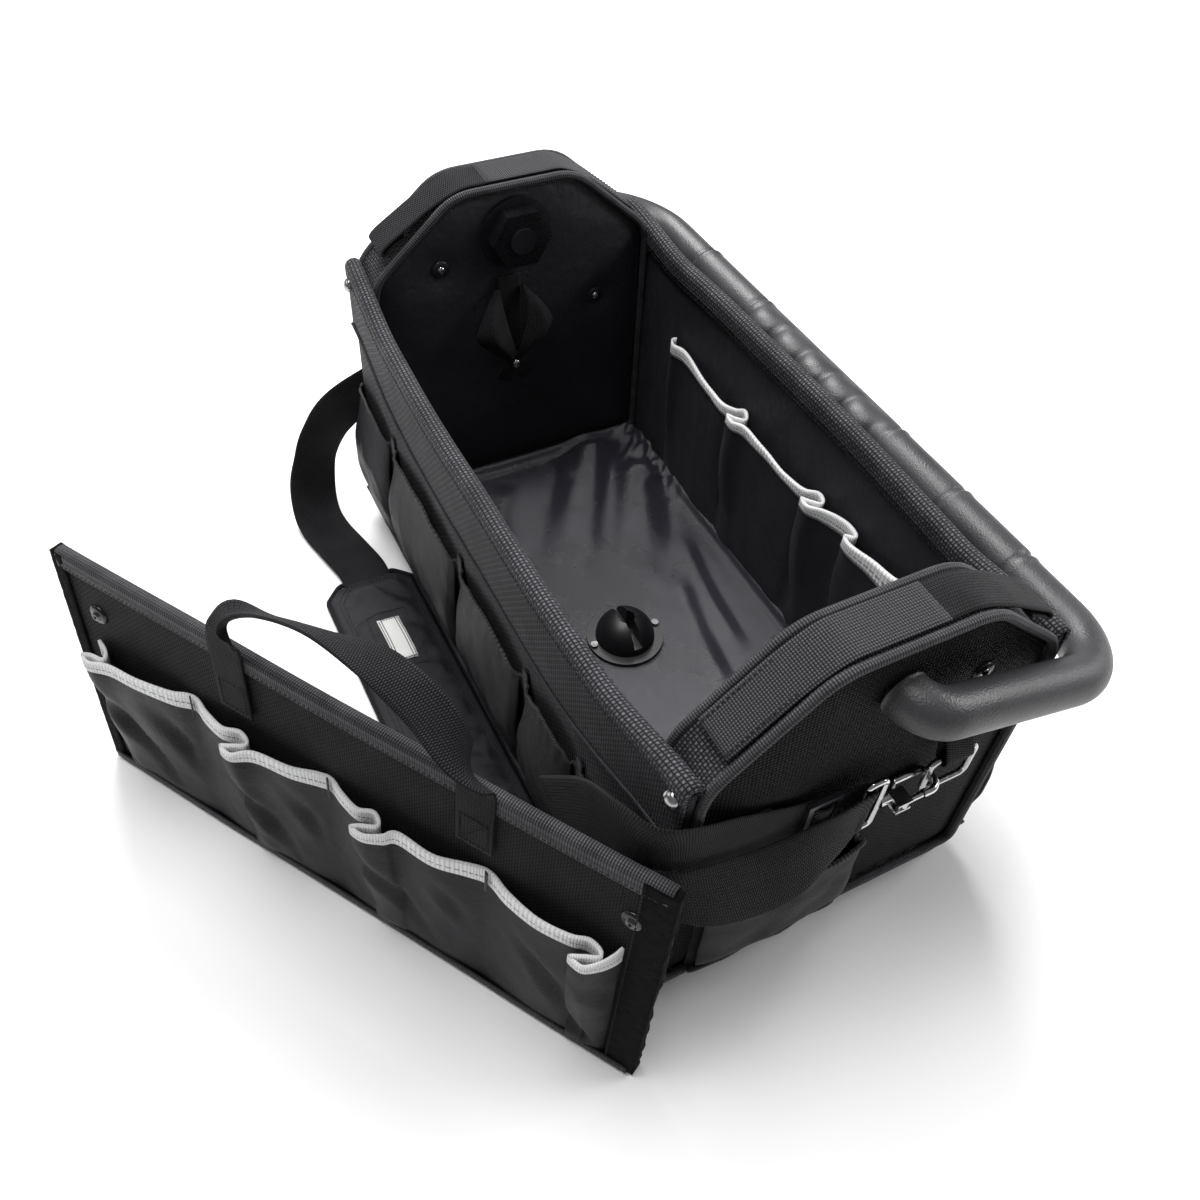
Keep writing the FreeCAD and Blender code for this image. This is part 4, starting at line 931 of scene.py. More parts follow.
def fold_height(x, y):
    """How high the folds lift the cloth at a point."""
    total = 0.0
    for start, end, high, wide in FLOOR_FOLDS:
        along, off = beside(x, y, start, end)
        off += 3.0 * math.sin(4 * along)
        fade = step(along, -0.06, 0.22) * (1 - step(along, 0.7, 1.08))
        # One flank of a fold is steep, the other runs out slowly.
        flank = max(0.0, 1 - abs(off) / (wide * (0.6 if off > 0 else 1.4)))
        total += high * fade * (0.5 * flank + 0.5 * step(flank))
    for start, end, high in FLOOR_WEDGES:
        along, off = beside(x, y, start, end)
        if along < 1:
            flat = 2.5 + 10 * max(0.0, along)
            slope = high * min(1.0, 1 - along) ** 1.4 * step(along, -0.16, 0.02)
            total += slope * (1 - step(abs(off), flat, flat + 26))
    return total


def bump(x, y, middle_x, middle_y, wide_x, wide_y):
    return math.exp(-((x - middle_x) / wide_x) ** 2 - ((y - middle_y) / wide_y) ** 2)


def build_floor():
    """The wrinkled floor cloth: long folds, and a crumple in the far corner behind the dome."""
    def point(a, b):
        x, y = FLOOR_X * (2 * a - 1), FLOOR_Y * (2 * b - 1)
        to_edge = min(FLOOR_X - abs(x), FLOOR_Y - abs(y))
        lift = 7.5 * (1 - step(to_edge, 0, 13)) ** 2
        calm = step(math.hypot(x - 4, y + 9), 26, 60)
        soft = ripple(x, y * 1.6, 0, 85, 2.0) + 0.6 * ripple(x * 0.4, y, 0, 30, 4.0)
        rough = 7 * bump(x, y, -172, 108, 44, 20)
        rough += 2.4 * (bump(x, y, 200, -96, 34, 26) + bump(x, y, -196, -100, 30, 24))
        crumple = rough * crease(x * 1.3 + y * 0.5, y * 0.7, 19, 1.0) ** 1.5
        flat = 1 - 0.5 * (1 - step(to_edge, 0, 20))
        return Vector((x, y, FLOOR_UP + lift + calm * (soft + fold_height(x, y)) * flat + crumple))

    part = sheet_of(grid(230, 130, point, (2 * FLOOR_X, 2 * FLOOR_Y)), 1.2)
    cloth = piece("floor_cloth_laid", *part, FLOOR_CLOTH, ["floor_lining"], "lining_cloth")


# ---------------------------------------------------------------- end panels
ENDS = {
    "near": Matrix.Translation((HALF, 0, 0)) @ Matrix.Rotation(-math.pi / 2, 4, "Z"),
    "far": Matrix.Translation((-HALF, 0, 0)) @ Matrix.Rotation(math.pi / 2, 4, "Z"),
}
THICK = 32.0
PIVOT_UP = 256.0
# The middle of a panel, and its two snaps as (across, up).
END_MIDDLE = 150.0
SNAPS = ((-60, 238), (70, 184))


def rounded_ring(corners, radii, count):
    """Evenly spaced points round a polygon whose corners are rounded; (x, up) pairs."""
    out = []
    total = len(corners)
    for i, (corner, radius) in enumerate(zip(corners, radii)):
        here = Vector((*corner, 0))
        back = (Vector((*corners[i - 1], 0)) - here).normalized()
        ahead = (Vector((*corners[(i + 1) % total], 0)) - here).normalized()
        half = back.angle(ahead) / 2
        set_back = radius / math.tan(half)
        a, b = here + back * set_back, here + ahead * set_back
        for k in range(9):
            t = k / 8
            # The arc is drawn as a quadratic curve whose control point is the corner.
            out.append(a * (1 - t) ** 2 + here * (2 * t * (1 - t)) + b * t ** 2)
    return even_ring([(p.x, p.y) for p in out], count)


def end_ring(inset, foot, count=150, spread=3.0):
    side, ridge = 113 - inset, 48 - 0.38 * inset
    shoulder, top = 237 - 0.45 * inset, 294 - inset
    corners = [(-side - spread, foot), (side + spread, foot), (side, shoulder), (ridge, top),
               (-ridge, top), (-side, shoulder)]
    return rounded_ring(corners, (8, 8, 34, 40, 40, 34), count)


def planar(part, place):
    """Cloth coordinates taken straight from across and up on a panel."""
    points, faces, _ = part
    flat = [place.inverted() @ p for p in points]
    return points, faces, [(flat[i].x, flat[i].z) for f in faces for i in f]


END_POINTS = 150


def end_face(place, out_at, sign, ring, crown):
    """One padded face: crowned, drawn in round the pivot and the snaps."""
    dimples = [(0, PIVOT_UP, 34)] + [(x, up, 14) for x, up in SNAPS]

    def point(a, b):
        r = 0.03 + 0.97 * a
        x0, z0 = ring[round(b * END_POINTS) % END_POINTS]
        x, z = x0 * r, END_MIDDLE + (z0 - END_MIDDLE) * r
        puff = crown * (1 - r ** 5) - 1.6 * r ** 14
        for cx, cz, wide in dimples:
            puff *= 1 - 0.9 * math.exp(-((x - cx) ** 2 + (z - cz) ** 2) / wide ** 2)
        soft = 1.5 * ripple(x, z, 0, 60, 9 + sign) + 0.8 * crease(x, z * 0.6, 45, 3 + sign)
        return place @ Vector((x, out_at + sign * (puff + soft * (1 - r ** 6)), z))

    part = grid(20, END_POINTS, point, (1, 1), wrap=True, flip=sign < 0)
    return planar(fan(part, list(range(END_POINTS))), place)


def build_end(which):
    place = ENDS[which]
    # The outer face takes the darkened weave, whose dark colour is painted shade.
    piece("end_outer_face_sewn_" + which, *end_face(place, -1.2, 1, end_ring(1.5, 21), 3.5),
          SHADE_DARKENED_WEAVE, ["end_outer_face_" + which, "end_core_" + which], "ballistic_weave")
    piece("end_inner_face_sewn_" + which, *end_face(place, 1.2 - THICK, -1, end_ring(1.5, 30), 4.5),
          LINING, ["end_inner_face_" + which], "lining_cloth")

    ring = end_ring(0, 20)
    around = sum(math.dist(a, b) for a, b in zip(ring, ring[1:] + ring[:1]))

    def gusset(a, b):
        x, z = ring[round(b * END_POINTS) % END_POINTS]
        sag = 1.3 * math.sin(math.pi * a) + 0.5 * ripple(b * 900, a * 30, 0, 40, 6)
        inward = Vector((-x, 0, END_MIDDLE - z)).normalized() * sag
        return place @ (Vector((x, -0.6 - (THICK - 1.2) * a, z)) + inward)

    points, faces, loops = grid(8, END_POINTS, gusset, (THICK, around), wrap=True, flip=True)
    piece("end_gusset_sewn_" + which, points, faces, [(v, u) for u, v in loops], WEAVE,
          ["end_gusset_" + which], "ballistic_weave")

    cords, threads = [], []
    for out, foot in ((1.4, 21), (-THICK - 1.4, 33)):
        sign = math.copysign(1, out)
        cord = [place @ Vector((x, out, z)) for x, z in end_ring(0.6, foot, 170)]
        cords.append(rod(cord, 3.0, 10, closed=True))
        seam = [place @ Vector((x, out - 0.24 * sign, z)) for x, z in end_ring(6.0, foot + 5, 170)]
        threads.append(stitches(seam + seam[:1], place.to_3x3() @ (Y * sign)))
    piece("end_piping_sewn_" + which, *join(cords), TAPE, ["end_piping_" + which], "binding")
    piece("end_stitches_" + which, *join(threads), THREAD, slot="binding")


def build_top_webbing(which):
    """Webbing over the crown: one end sewn flat in a square, the other standing off and folded under."""
    place = ENDS[which] @ Matrix.Translation((0, -THICK / 2, 0))
    across = ENDS[which].to_3x3() @ Y
    slope = Vector((65, 0, -57)).normalized()
    off_slope = Vector((-slope.z, 0, slope.x))

    def on_slope(side, down, off):
        """A point beside the crown, on the slope to one side: down it and off it."""
        spot = Vector((48, 0, 294)) + slope * down + off_slope * off
        return Vector((side * spot.x, 0, spot.z))

    sewn = [on_slope(1, 66, 2.2), on_slope(1, 40, 1.6), on_slope(1, 16, 0.6), Vector((40, 0, 294.7)),
            Vector((20, 0, 295.7)), Vector((-20, 0, 295.7))]
    loose = [Vector((-40, 0, 294.9))]
    loose += [on_slope(-1, down, off) for down, off in (
        (16, 3), (40, 7.4), (57, 10), (63.5, 9.4), (64, 6.6), (57, 6.2), (44, 3.6))]
    web = [(place @ p, across) for p in sewn + loose]
    piece("end_webbing_sewn_" + which, *strap(web, 27, 2.2, 8, wave=0.4), WEBBING,
          ["end_webbing_" + which], "webbing")

    def raised(p, by):
        return place @ (p + (p - Vector((0, 0, END_MIDDLE))).normalized() * by)

    piece("end_waffle_" + which, *strap([(raised(p, 0.9), across) for p in sewn], 27.6, 1.6, 8),
          WAFFLE, slot="webbing")
    line = curve_through([raised(p, 1.9) for p in sewn[:3]], 6)
    rows = [stitches([p + across * side * 11 for p in line], place.to_3x3() @ off_slope)
            for side in (-1, 1)]
    piece("end_web_stitches_" + which, *join(rows), THREAD, slot="binding")


def build_end_pocket(which):
    """One gathered pouch low on the outside of an end."""
    place = ENDS[which]
    seed = 3.0 if which == "near" else 6.0
    shape = [(-56, 0.3), (-51, 5), (-55, 9), (-46, 12), (-24, 13.4), (0, 14), (24, 13.2), (46, 12),
             (55, 9), (51, 5), (56, 0.3)]
    plan = with_base(folded_line(shape, 7))
    low, high = 22.5, 107

    def swell(up):
        return 0.45 + 0.55 * step(up, 22, 46) - 0.12 * step(up, 70, 108)

    def droop(x, out):
        return -5 * math.cos(x / 40) ** 2

    def point(x, out, up):
        soft = 1.6 * ripple(x, up, 0, 22, seed) * min(1.0, out / 6)
        return place @ Vector((42 + x, out + soft, up))

    part = pleated(point, plan, span(low, high, 24), swell, 1.2, droop, flip=True)
    piece("end_pocket_sewn_" + which, *part, POCKET_CLOTH, ["end_pocket_" + which], "ballistic_weave")
    top = [point(x, 0.8 + o * 0.88, high + droop(x, o)) for x, o, _ in plan[::2]]
    foot = [point(x, 0.8 + o * 0.45, low) for x, o, _ in plan[::2]]
    piece("end_pocket_binding_" + which, *join([rod(top, 1.6, 8), rod(foot, 1.6, 8)]), TAPE,
          slot="binding")


# ---------------------------------------------------------------- rivets, snaps, tool loop
def rivet(r, h):
    return [(0, h), (r * 0.35, h * 0.97), (r * 0.65, h * 0.82), (r * 0.88, h * 0.5), (r, h * 0.12),
            (r, -0.6)]


def snap(r, h):
    return [(0, h * 0.62), (r * 0.28, h * 0.64), (r * 0.36, h), (r * 0.62, h), (r * 0.72, h * 0.55),
            (r * 0.95, h * 0.42), (r, h * 0.1), (r, -0.6)]


def facing(spot, direction):
    """A matrix whose Y points along direction, at a spot."""
    return Matrix.Translation(spot) @ Y.rotation_difference(Vector(direction)).to_matrix().to_4x4()


def build_rivets():
    heads = []
    for side in WALLS:
        outward = WALLS[side].to_3x3() @ Y
        for x in (-241.5, 241.5):
            heads.append(turned(rivet(5.2, 3.6), facing(wall(side, x, 3.2, 196), outward + Z * 0.5)))
    piece("corner_rivets_domed", *join(heads), NICKEL, ["corner_rivets"], "dark_nickel")

    caps, rims = [], []
    for which, place in ENDS.items():
        for across, up in SNAPS:
            for out, sign in ((0.6, 1), (-THICK - 0.4, -1)):
                spot = place @ Vector((across, out, up))
                where = facing(spot, place.to_3x3() @ (Y * sign))
                caps.append(turned(rivet(3.4, 2.9), where, 20))
                rims.append(turned([(0, 1.3), (4.4, 1.5), (6.2, 1.2), (7.0, 0.3), (7.0, -0.8)], where, 24))
    piece("panel_snap_caps", *join(caps), NICKEL, ["panel_snaps"], "dark_nickel")
    piece("panel_snap_rims", *join(rims), SOFT_GLOSS, slot="black_plastic")


def build_tool_loop():
    """A bow of webbing: two wings fold outward from a pinch, like a collar, under a hanging strip."""
    face = -HALF + THICK + 3.5
    centre = -8.0
    wings = []
    for side in (-1, 1):
        # Each wing lies between the edge beside the opening and the edge that flares out.
        inner = curve_through([(face + 5, 9, 214), (face + 13, 10.5, 204), (face + 17, 7.5, 186),
                               (face + 16, 2.6, 168), (face + 12, 1.2, 156)], 8)
        middle = curve_through([(face + 4, 10, 214), (face + 19, 19, 200), (face + 24, 21, 184),
                                (face + 20, 9, 166), (face + 13, 2.6, 155)], 8)
        outer = curve_through([(face + 2, 11, 213), (face + 10, 24, 198), (face + 12, 31, 181),
                               (face + 10, 18, 165), (face + 11, 4.2, 154)], 8)

        def point(a, b, side=side, inner=inner, middle=middle, outer=outer):
            i = round(a * 32)
            first, last = (inner[i], middle[i]) if b < 0.5 else (middle[i], outer[i])
            p = first.lerp(last, (b * 2) % 1 if b < 1 else 1.0)
            wave = 0.7 * ripple(p.z, b * 30, 0, 18, 4 + side)
            return Vector((p.x + wave, centre + side * p.y, p.z))
        wings.append(sheet_of(grid(32, 8, point, (66, 30), flip=side > 0), 1.6))
    hanging = strap([((face + 1.6, centre, 224), Y), ((face + 2.6, centre, 205), Y),
                     ((face + 3.2, centre, 182), Y), ((face + 4.5, centre, 156), Y)], 19, 1.8, 6)
    tails = [strap([((face + 11, centre + 1.5 * s, 156), Y),
                    ((face + 13, centre + 4 * s, 147), Y + Z * 0.3 * s),
                    ((face + 12, centre + 10 * s, 136), Y + Z * 0.5 * s)], 12, 2.0, 6) for s in (-1, 1)]
    piece("tool_loop_bow", *join(wings + [hanging] + tails), WEBBING, ["tool_loop"], "webbing")
    stud = [turned(rivet(3.6, 2.2), facing((face + 14.5, centre, 151), (1, 0, 0.3))),
            turned(rivet(2.2, 1.4), facing((face + 1.2, centre + 23, 191), X))]
    piece("tool_loop_rivets", *join(stud), NICKEL, slot="dark_nickel")


# ---------------------------------------------------------------- handle
HANDLE = Matrix.Translation((0, 0, PIVOT_UP)) @ Matrix.Rotation(math.radians(-16.3), 4, "X")
GRIP_SEAMS = (-181.0, -105.0, 59.0, 124.0, 186.0)
FINGERS = (-84.0, -51.0, -21.0, 6.0, 35.0)


TUBE_RADIUS = 14.0
# The grip is the straight run of the tube, this far from the pivots.
GRIP_OUT = 155.5


def handle_line():
    """The bent middle line of the tube, in the plane of its bends."""
    line = []
    for x, y, radius, start, count in ((252, 18, 18, -90, 12), (228, 114, 42, 0, 20),
                                       (-228, 114, 42, 90, 20), (-252, 18, 18, 180, 12)):
        turns = [math.radians(start + 90 * k / count) for k in range(count + 1)]
        arc = [Vector((x + radius * math.cos(t), y + radius * math.sin(t), 0)) for t in turns]
        if line:
            gap = (arc[0] - line[-1]).length
            extra = int(gap / 2.0) if gap > 200 else 12
            line += [line[-1].lerp(arc[0], k / extra) for k in range(1, extra)]
        line += arc
    return line


def grip_relief(x, turn):
    """How far the grip stands out of the tube: sleeves with seams, and the finger swells."""
    out = 0.8 if GRIP_SEAMS[0] <= x <= GRIP_SEAMS[-1] else 0.0
    for seam in GRIP_SEAMS:
        out -= 1.5 * math.exp(-((x - seam) / 1.5) ** 2)
        out += 0.7 * math.exp(-((x - seam - 4) / 2.5) ** 2)
    # The swells sit on the inner side, where the fingers close, with creases between.
    lobe = max(0.0, math.cos(turn - math.radians(172))) ** 1.7
    reach = min(abs(x - finger) for finger in FINGERS) / 14.0
    return out + 6.2 * lobe * max(0.0, 1 - reach * reach) ** 0.8


def build_handle():
    """The bent tube with its moulded grip."""
    line = handle_line()
    sides = 48
    count = len(line) - 1
    run = lengths(line)

    def point(a, b):
        i = round(a * count)
        here = line[i]
        along = (line[min(i + 1, count)] - line[max(i - 1, 0)]).normalized()
        out = along.cross(Z)
        turn = 2 * math.pi * b
        radius = TUBE_RADIUS + (grip_relief(here.x, turn) if here.y > GRIP_OUT else 0.0)
        radius += 0.06 * ripple(run[i], math.cos(turn) * 14, math.sin(turn) * 14, 30, 2)
        return HANDLE @ (here + (out * math.cos(turn) + Z * math.sin(turn)) * radius)

    part = capped(grid(count, sides, point, (run[-1], 88), wrap=True, flip=True), sides)
    piece("handle_grip_tube", *part, HANDLE_PLASTIC, ["handle_tube"], "charcoal_plastic", "handle")


# ---------------------------------------------------------------- divider
DIVIDER = (Matrix.Translation((-77, -380, 0)) @ Matrix.Rotation(math.radians(32.2), 4, "Z")
           @ Matrix.Translation((0, 0, 0.6)) @ Matrix.Rotation(math.radians(-6), 4, "X"))
DIVIDER_FRONT = DIVIDER.to_3x3() @ Vector((0, -1, 0))


def on_divider(x, out, up):
    """A point on the divider: x along its foot, out from its middle towards the viewer's side."""
    warp = 2.2 * math.sin(math.pi * x / 430) * (up / 200) ** 2 + 1.1 * ripple(x, up, 0, 120, 2.5)
    return DIVIDER @ Vector((x, -(out + warp), up))


DIVIDER_FOLDS = [(21, 0.5), (30, 4), (33, 8), (24, 9), (18, 12), (26, 15), (40, 11), (62, 10), (88, 6),
                 (103, 1.2), (116, 5), (132, 8), (144, 5), (152, 8), (145, 12), (138, 16), (148, 18),
                 (160, 11), (185, 8), (202, 3), (211, 1.2), (222, 5), (236, 8), (246, 5), (252, 9),
                 (243, 13), (238, 17), (248, 18), (259, 13), (266, 8), (290, 9), (310, 4), (323, 1.2),
                 (338, 6), (360, 10), (380, 9), (391, 6), (399, 9), (391, 13), (384, 17), (394, 19),
                 (402, 13), (407, 6), (409, 0.8)]


DIVIDER_SEAMS = (103, 211, 323)
# The foot of each leg of the web handle.
HANDLE_LEGS = ((142, 149), (313, 153))


def slab(x0, x1, z0, z1, half, rows, cols, rough=0.0, seed=0.0):
    """A flat layer of the divider, from x0 to x1 and z0 to z1."""
    long, tall = x1 - x0, z1 - z0
    front = grid(rows, cols, lambda a, b: on_divider(
        x0 + long * a, half + rough * ripple(a * long, b * tall, 0, 5, seed), z0 + tall * b), (long, tall))
    return sheet_of(front, 2 * half)


def edging(middle, height, half, top):
    """Tape folded over the upper or the lower edge of the divider."""
    x0, x1 = 3, 427
    sign = 1 if top else -1
    section = [(half, -height), (half, -2), (half * 0.75, 0.4), (0, 1.1), (-half * 0.75, 0.4),
               (-half, -2), (-half, -height)]

    def point(a, b):
        out, up = section[round(b * 6)]
        return on_divider(x0 + (x1 - x0) * a, out, middle + sign * up)
    return sheet_of(grid(90, 6, point, (x1 - x0, 2 * height), flip=not top), 0.9)


def build_divider_panel():
    piece("divider_panel_sewn", *slab(3, 427, 0.6, 196, 2.8, 90, 40), FINE_WEAVE, ["divider_panel"],
          "ballistic_weave", "divider")
    strips = [slab(-1, 9, 1, 197, 4.4, 6, 70, 0.35, 4), slab(411, 431, 1, 197, 4.6, 12, 90, 0.35, 5)]
    piece("divider_hook_tape", *join(strips), FUZZ, ["divider_hook_strips"], "hook_tape", "divider")
    edges = [edging(198, 12, 4.4, True), edging(0.4, 8, 6.3, False)]
    piece("divider_edging", *join(edges), TAPE, ["divider_binding"], "binding", "divider")


def build_divider_pockets():
    """A row of pleated pockets, hanging in diagonal folds from its elastic."""
    plan = with_base(folded_line(DIVIDER_FOLDS, 6))

    def swell(up):
        return 0.1 + 0.14 * step(up, 4, 16) + 0.76 * step(up, 0, 122)

    def pocket(x, out, up):
        hang = math.sin(math.pi * min(1, up / 131))
        soft = 2.4 * ripple(x + up * 0.3, up * 0.6, 0, 30, 5) * step(out, 1, 6) * hang
        lean = (x + up * 0.62) / 54
        diagonal = 5.4 * max(0.0, 1 - 4.4 * abs(lean - math.floor(lean) - 0.5)) * step(out, 2, 7)
        diagonal *= step(up, 4, 22) * (1 - step(up, 70, 112))
        return on_divider(x, 3.2 + out + soft - diagonal, up)

    def droop(x, out):
        return -0.42 * max(0.0, out - 3)

    part = pleated(pocket, plan, span(2.5, 131, 30), swell, 1.1, droop, pressed=0.85)
    piece("divider_pockets_sewn", *part, POCKET_CLOTH, ["divider_pockets"], "lining_cloth", "divider")
    part = pleated(lambda x, out, up: pocket(x, out + 0.8, up), plan, span(119.5, 132.5, 4),
                   lambda up: 1.0, 2.0, droop)
    piece("divider_elastic_sewn", *part, ELASTIC, ["divider_elastic"], "pale_elastic", "divider")


def build_divider_stitches():
    """Bar tacks over the elastic, and rows of stitches down the seams and along the edges."""
    rows = [strap([(on_divider(x, out, up), X) for out, up in ((7.6, 116), (7.8, 125), (7.6, 134))],
                  2.6, 1.0, 3) for x in DIVIDER_SEAMS]
    lines = [[on_divider(x, 3.9, up) for up in span(6, 112, 20)] for x in DIVIDER_SEAMS]
    lines += [[on_divider(x, 5.0, up) for x in span(6, 424, 60)] for up in (188.5, 5.5)]
    lines += [[on_divider(x, 5.6, up) for up in span(5, 190, 30)] for x in (7, 412)]
    rows += [stitches(line, DIVIDER_FRONT) for line in lines]
    piece("divider_stitches", *join(rows), THREAD, slot="binding", body="divider")


def build_divider_snaps():
    caps, rims = [], []
    for x in (28, 409):
        spot = facing(on_divider(x, 3.0, 158), DIVIDER_FRONT)
        caps.append(turned(snap(4.4, 3.4), spot, 22))
        rims.append(turned([(0, 1.4), (5.4, 1.8), (6.6, 1.2), (7.2, 0.2), (7.2, -0.6)], spot, 26))
    piece("divider_snap_caps", *join(caps), DARK_METAL, ["divider_snaps"], "dark_nickel", "divider")
    piece("divider_snap_rims", *join(rims), GLOSS, slot="black_plastic", body="divider")


# The web handle: (along, out, up) on the divider, and the direction across the webbing.
WEB_HANDLE = (((142, 5.6, 146), X), ((142, 5.6, 172), X), ((142, 5.6, 203), X),
              ((144, 6.2, 215), (1, -0.3, 0)), ((152, 5.2, 231), (0.8, -0.8, 0.5)),
              ((178, 4.2, 246), (0, -1, 0.9)), ((215, 3.2, 256), (0, -1, 0.8)),
              ((252, 3.2, 256), (-0.1, -1, 0.05)), ((284, 6.2, 244), (-0.25, -0.9, -0.35)),
              ((303, 9.2, 228), (0.15, -1, -0.25)), ((311, 8.2, 214), (0.75, -0.65, -0.1)),
              ((313, 5.6, 203), X), ((313, 5.6, 172), X), ((313, 5.6, 150), X))


def build_divider_handle():
    """A loop of webbing, each leg sewn on in a square with a diagonal."""
    turn = DIVIDER.to_3x3()
    line = [(on_divider(*spot), turn @ Vector(across)) for spot, across in WEB_HANDLE]
    piece("divider_web_handle_sewn", *strap(line, 25, 2.2, 8, wave=0.5), WEBBING,
          ["divider_web_handle"], "webbing", "divider")
    boxes = []
    for x, low in HANDLE_LEGS:
        left, right, high = x - 9, x + 9, low + 22
        corners = [(left, low), (right, low), (right, high), (left, high), (left, low), (right, high)]
        path = [on_divider(p.x, 7.0, p.y) for p in traced(corners, 6)]
        boxes.append(stitches(path, DIVIDER_FRONT, 2.8, 2.2))
    piece("divider_handle_stitches", *join(boxes), THREAD, slot="binding", body="divider")


def traced(corners, per_side):
    """Points along the lines between flat corners, each corner once."""
    corners = [Vector((*corner, 0)) for corner in corners]
    out = corners[:1]
    for a, b in zip(corners, corners[1:]):
        out += [a + (b - a) * t for t in span(0, 1, per_side)[1:]]
    return out


def build_divider():
    build_divider_panel()
    build_divider_pockets()
    build_divider_stitches()
    build_divider_snaps()
    build_divider_handle()


# ---------------------------------------------------------------- shoulder strap
PAD = (-163.0, 182.0, -202.0, -127.5)


PAD_CHAMFER = 14.0
# Half the pad's cross-section each way: share of the half-width, and height.
PAD_TOP = ((0, 6.8), (0.3, 6.6), (0.6, 6.2), (0.8, 5.4), (0.86, 5.2), (0.94, 5.8), (0.985, 5.0))
PAD_UNDER = ((1, 3.2), (0.98, 1.2), (0.9, 0.4), (0.3, 0.3))


def pad_blank():
    """The pad before it is filled, with the channel of its seam round it."""
    x0, x1, y0, y1 = PAD
    middle, half = (y0 + y1) / 2, (y1 - y0) / 2
    section = [(-s, z) for s, z in (PAD_UNDER[:1] + PAD_TOP[:0:-1])] + list(PAD_TOP)
    section += list(PAD_UNDER) + [(-s, z) for s, z in PAD_UNDER[:0:-1]]
    wide = len(section)

    def point(a, b):
        x = x0 + (x1 - x0) * a
        to_end = min(x - x0, x1 - x)
        reach = half - PAD_CHAMFER * max(0.0, 1 - to_end / PAD_CHAMFER)
        s, z = section[round(b * wide) % wide]
        flat = 0.55 + 0.45 * step(to_end, 0, 9)
        channel = 1.4 * math.exp(-((to_end - 8) / 1.3) ** 2) if z > 5 else 0.0
        z = 0.3 + (z - 0.3) * flat - channel
        if z > 4:
            z += 0.7 * ripple(x, s * 35, 0, 38, 3) + 0.5 * crease(x * 0.6, s * 40, 26, 5)
        return Vector((x, middle + s * reach, z))

    return capped(grid(150, wide, point, (x1 - x0, 150), wrap=True, flip=True), wide)


def build_pad():
    """The shoulder pad, filled by a cloth run, with its edging, stitches and label."""
    x0, x1, y0, y1 = PAD
    middle_x, middle_y, half = (x0 + x1) / 2, (y0 + y1) / 2, (y1 - y0) / 2

    def held(p):
        """Sewn down: the rim, the channel inside it, and the flat underside."""
        to_rim = min(p.x - x0, x1 - p.x, p.y - y0, y1 - p.y)
        return p.z < 2.5 or to_rim < 4 or 8.5 < to_rim < 12

    points, faces = inflated(pad_blank(), held, pressure=4.0, cap=4.5, voxel=3.6)
    points = [Vector((p.x, p.y, max(p.z, 0.3))) for p in points]
    flat = [(points[i].x, points[i].y) for f in faces for i in f]
    pad = piece("strap_pad_padded", points, faces, flat, PAD_CLOTH, ["strap_pad"], "ballistic_weave")
    pad.modifiers.new("smooth", "SUBSURF").render_levels = 1
    height = top_of(pad)

    c = PAD_CHAMFER
    corners = [(x0, y0 + c), (x0 + c, y0), (x1 - c, y0), (x1, y0 + c),
               (x1, y1 - c), (x1 - c, y1), (x0 + c, y1), (x0, y1 - c)]
    edge = rounded_ring(corners, (5,) * 8, 200)
    bead = [Vector((x, y, 2.8)) for x, y in edge]
    piece("pad_edging", *rod(bead, 1.9, 8, closed=True), WEBBING, slot="binding")
    rows = []
    for inset in (7.5, 10.5):
        line = [(middle_x + (x - middle_x) * (1 - inset / 172),
                 middle_y + (y - middle_y) * (1 - inset / half)) for x, y in edge]
        line = [Vector((x, y, height(x, y) + 0.25)) for x, y in line]
        rows.append(stitches(line + line[:1], Z, 3.6, 2.6))
    piece("pad_stitches", *join(rows), THREAD, slot="binding")
    build_label(height, x0 + 55, y0 + half - 9)


def build_label(height, left, low):
    """The plain label, and the stitches on it and on the patch under it."""
    long, wide = LABEL_SIZE

    def point(a, b):
        x, y = left + long * a, low + wide * b
        return Vector((x, y, height(x, y) + 0.9))

    piece("pad_label_woven", *sheet_of(grid(23, 9, point, LABEL_SIZE), 1.2), LABEL, ["pad_label"],
          "label_cloth")

    def frame_line(grow, lift):
        x0, x1, y0, y1 = left - grow, left + long + grow, low - grow, low + wide + grow
        line = traced([(x0, y0), (x1, y0), (x1, y1), (x0, y1), (x0, y0)], 12)
        return [Vector((p.x, p.y, height(p.x, p.y) + lift)) for p in line]

    rows = [stitches(frame_line(-1.2, 1.2), Z, 2.2, 1.7, 0.35),
            stitches(frame_line(7.0, 0.3), Z, 3.0, 2.2)]
    piece("pad_label_stitches", *join(rows), THREAD, slot="binding")


# The middle of the near hook's bar; the far one is its mirror image.
HOOK = (262.0, -8.0, 164.0)
# Where the tail goes round the slider's middle bar, as (x, y).
SLIDER_WRAP = ((256.8, -41), (260.4, -40), (262.2, -37), (262.2, -33), (260.4, -30), (256.8, -29))
SLIDER_UP = 165.0


def webbing(stations, width=40, thickness=2.0, per_span=8, wave=0.3):
    return strap(stations, width, thickness, per_span, wave)


def hook_turn(sign):
    """The webbing's turn round the bar of a hook, from its sewn end on."""
    x, _, up = HOOK
    turn = ((-3.6, -26, up - 1), (-4.2, -14, up), (-3.2, -6, up), (0, -3.6, up), (3.2, -6, up))
    return [((sign * (x + out), y, z), Z) for out, y, z in turn]


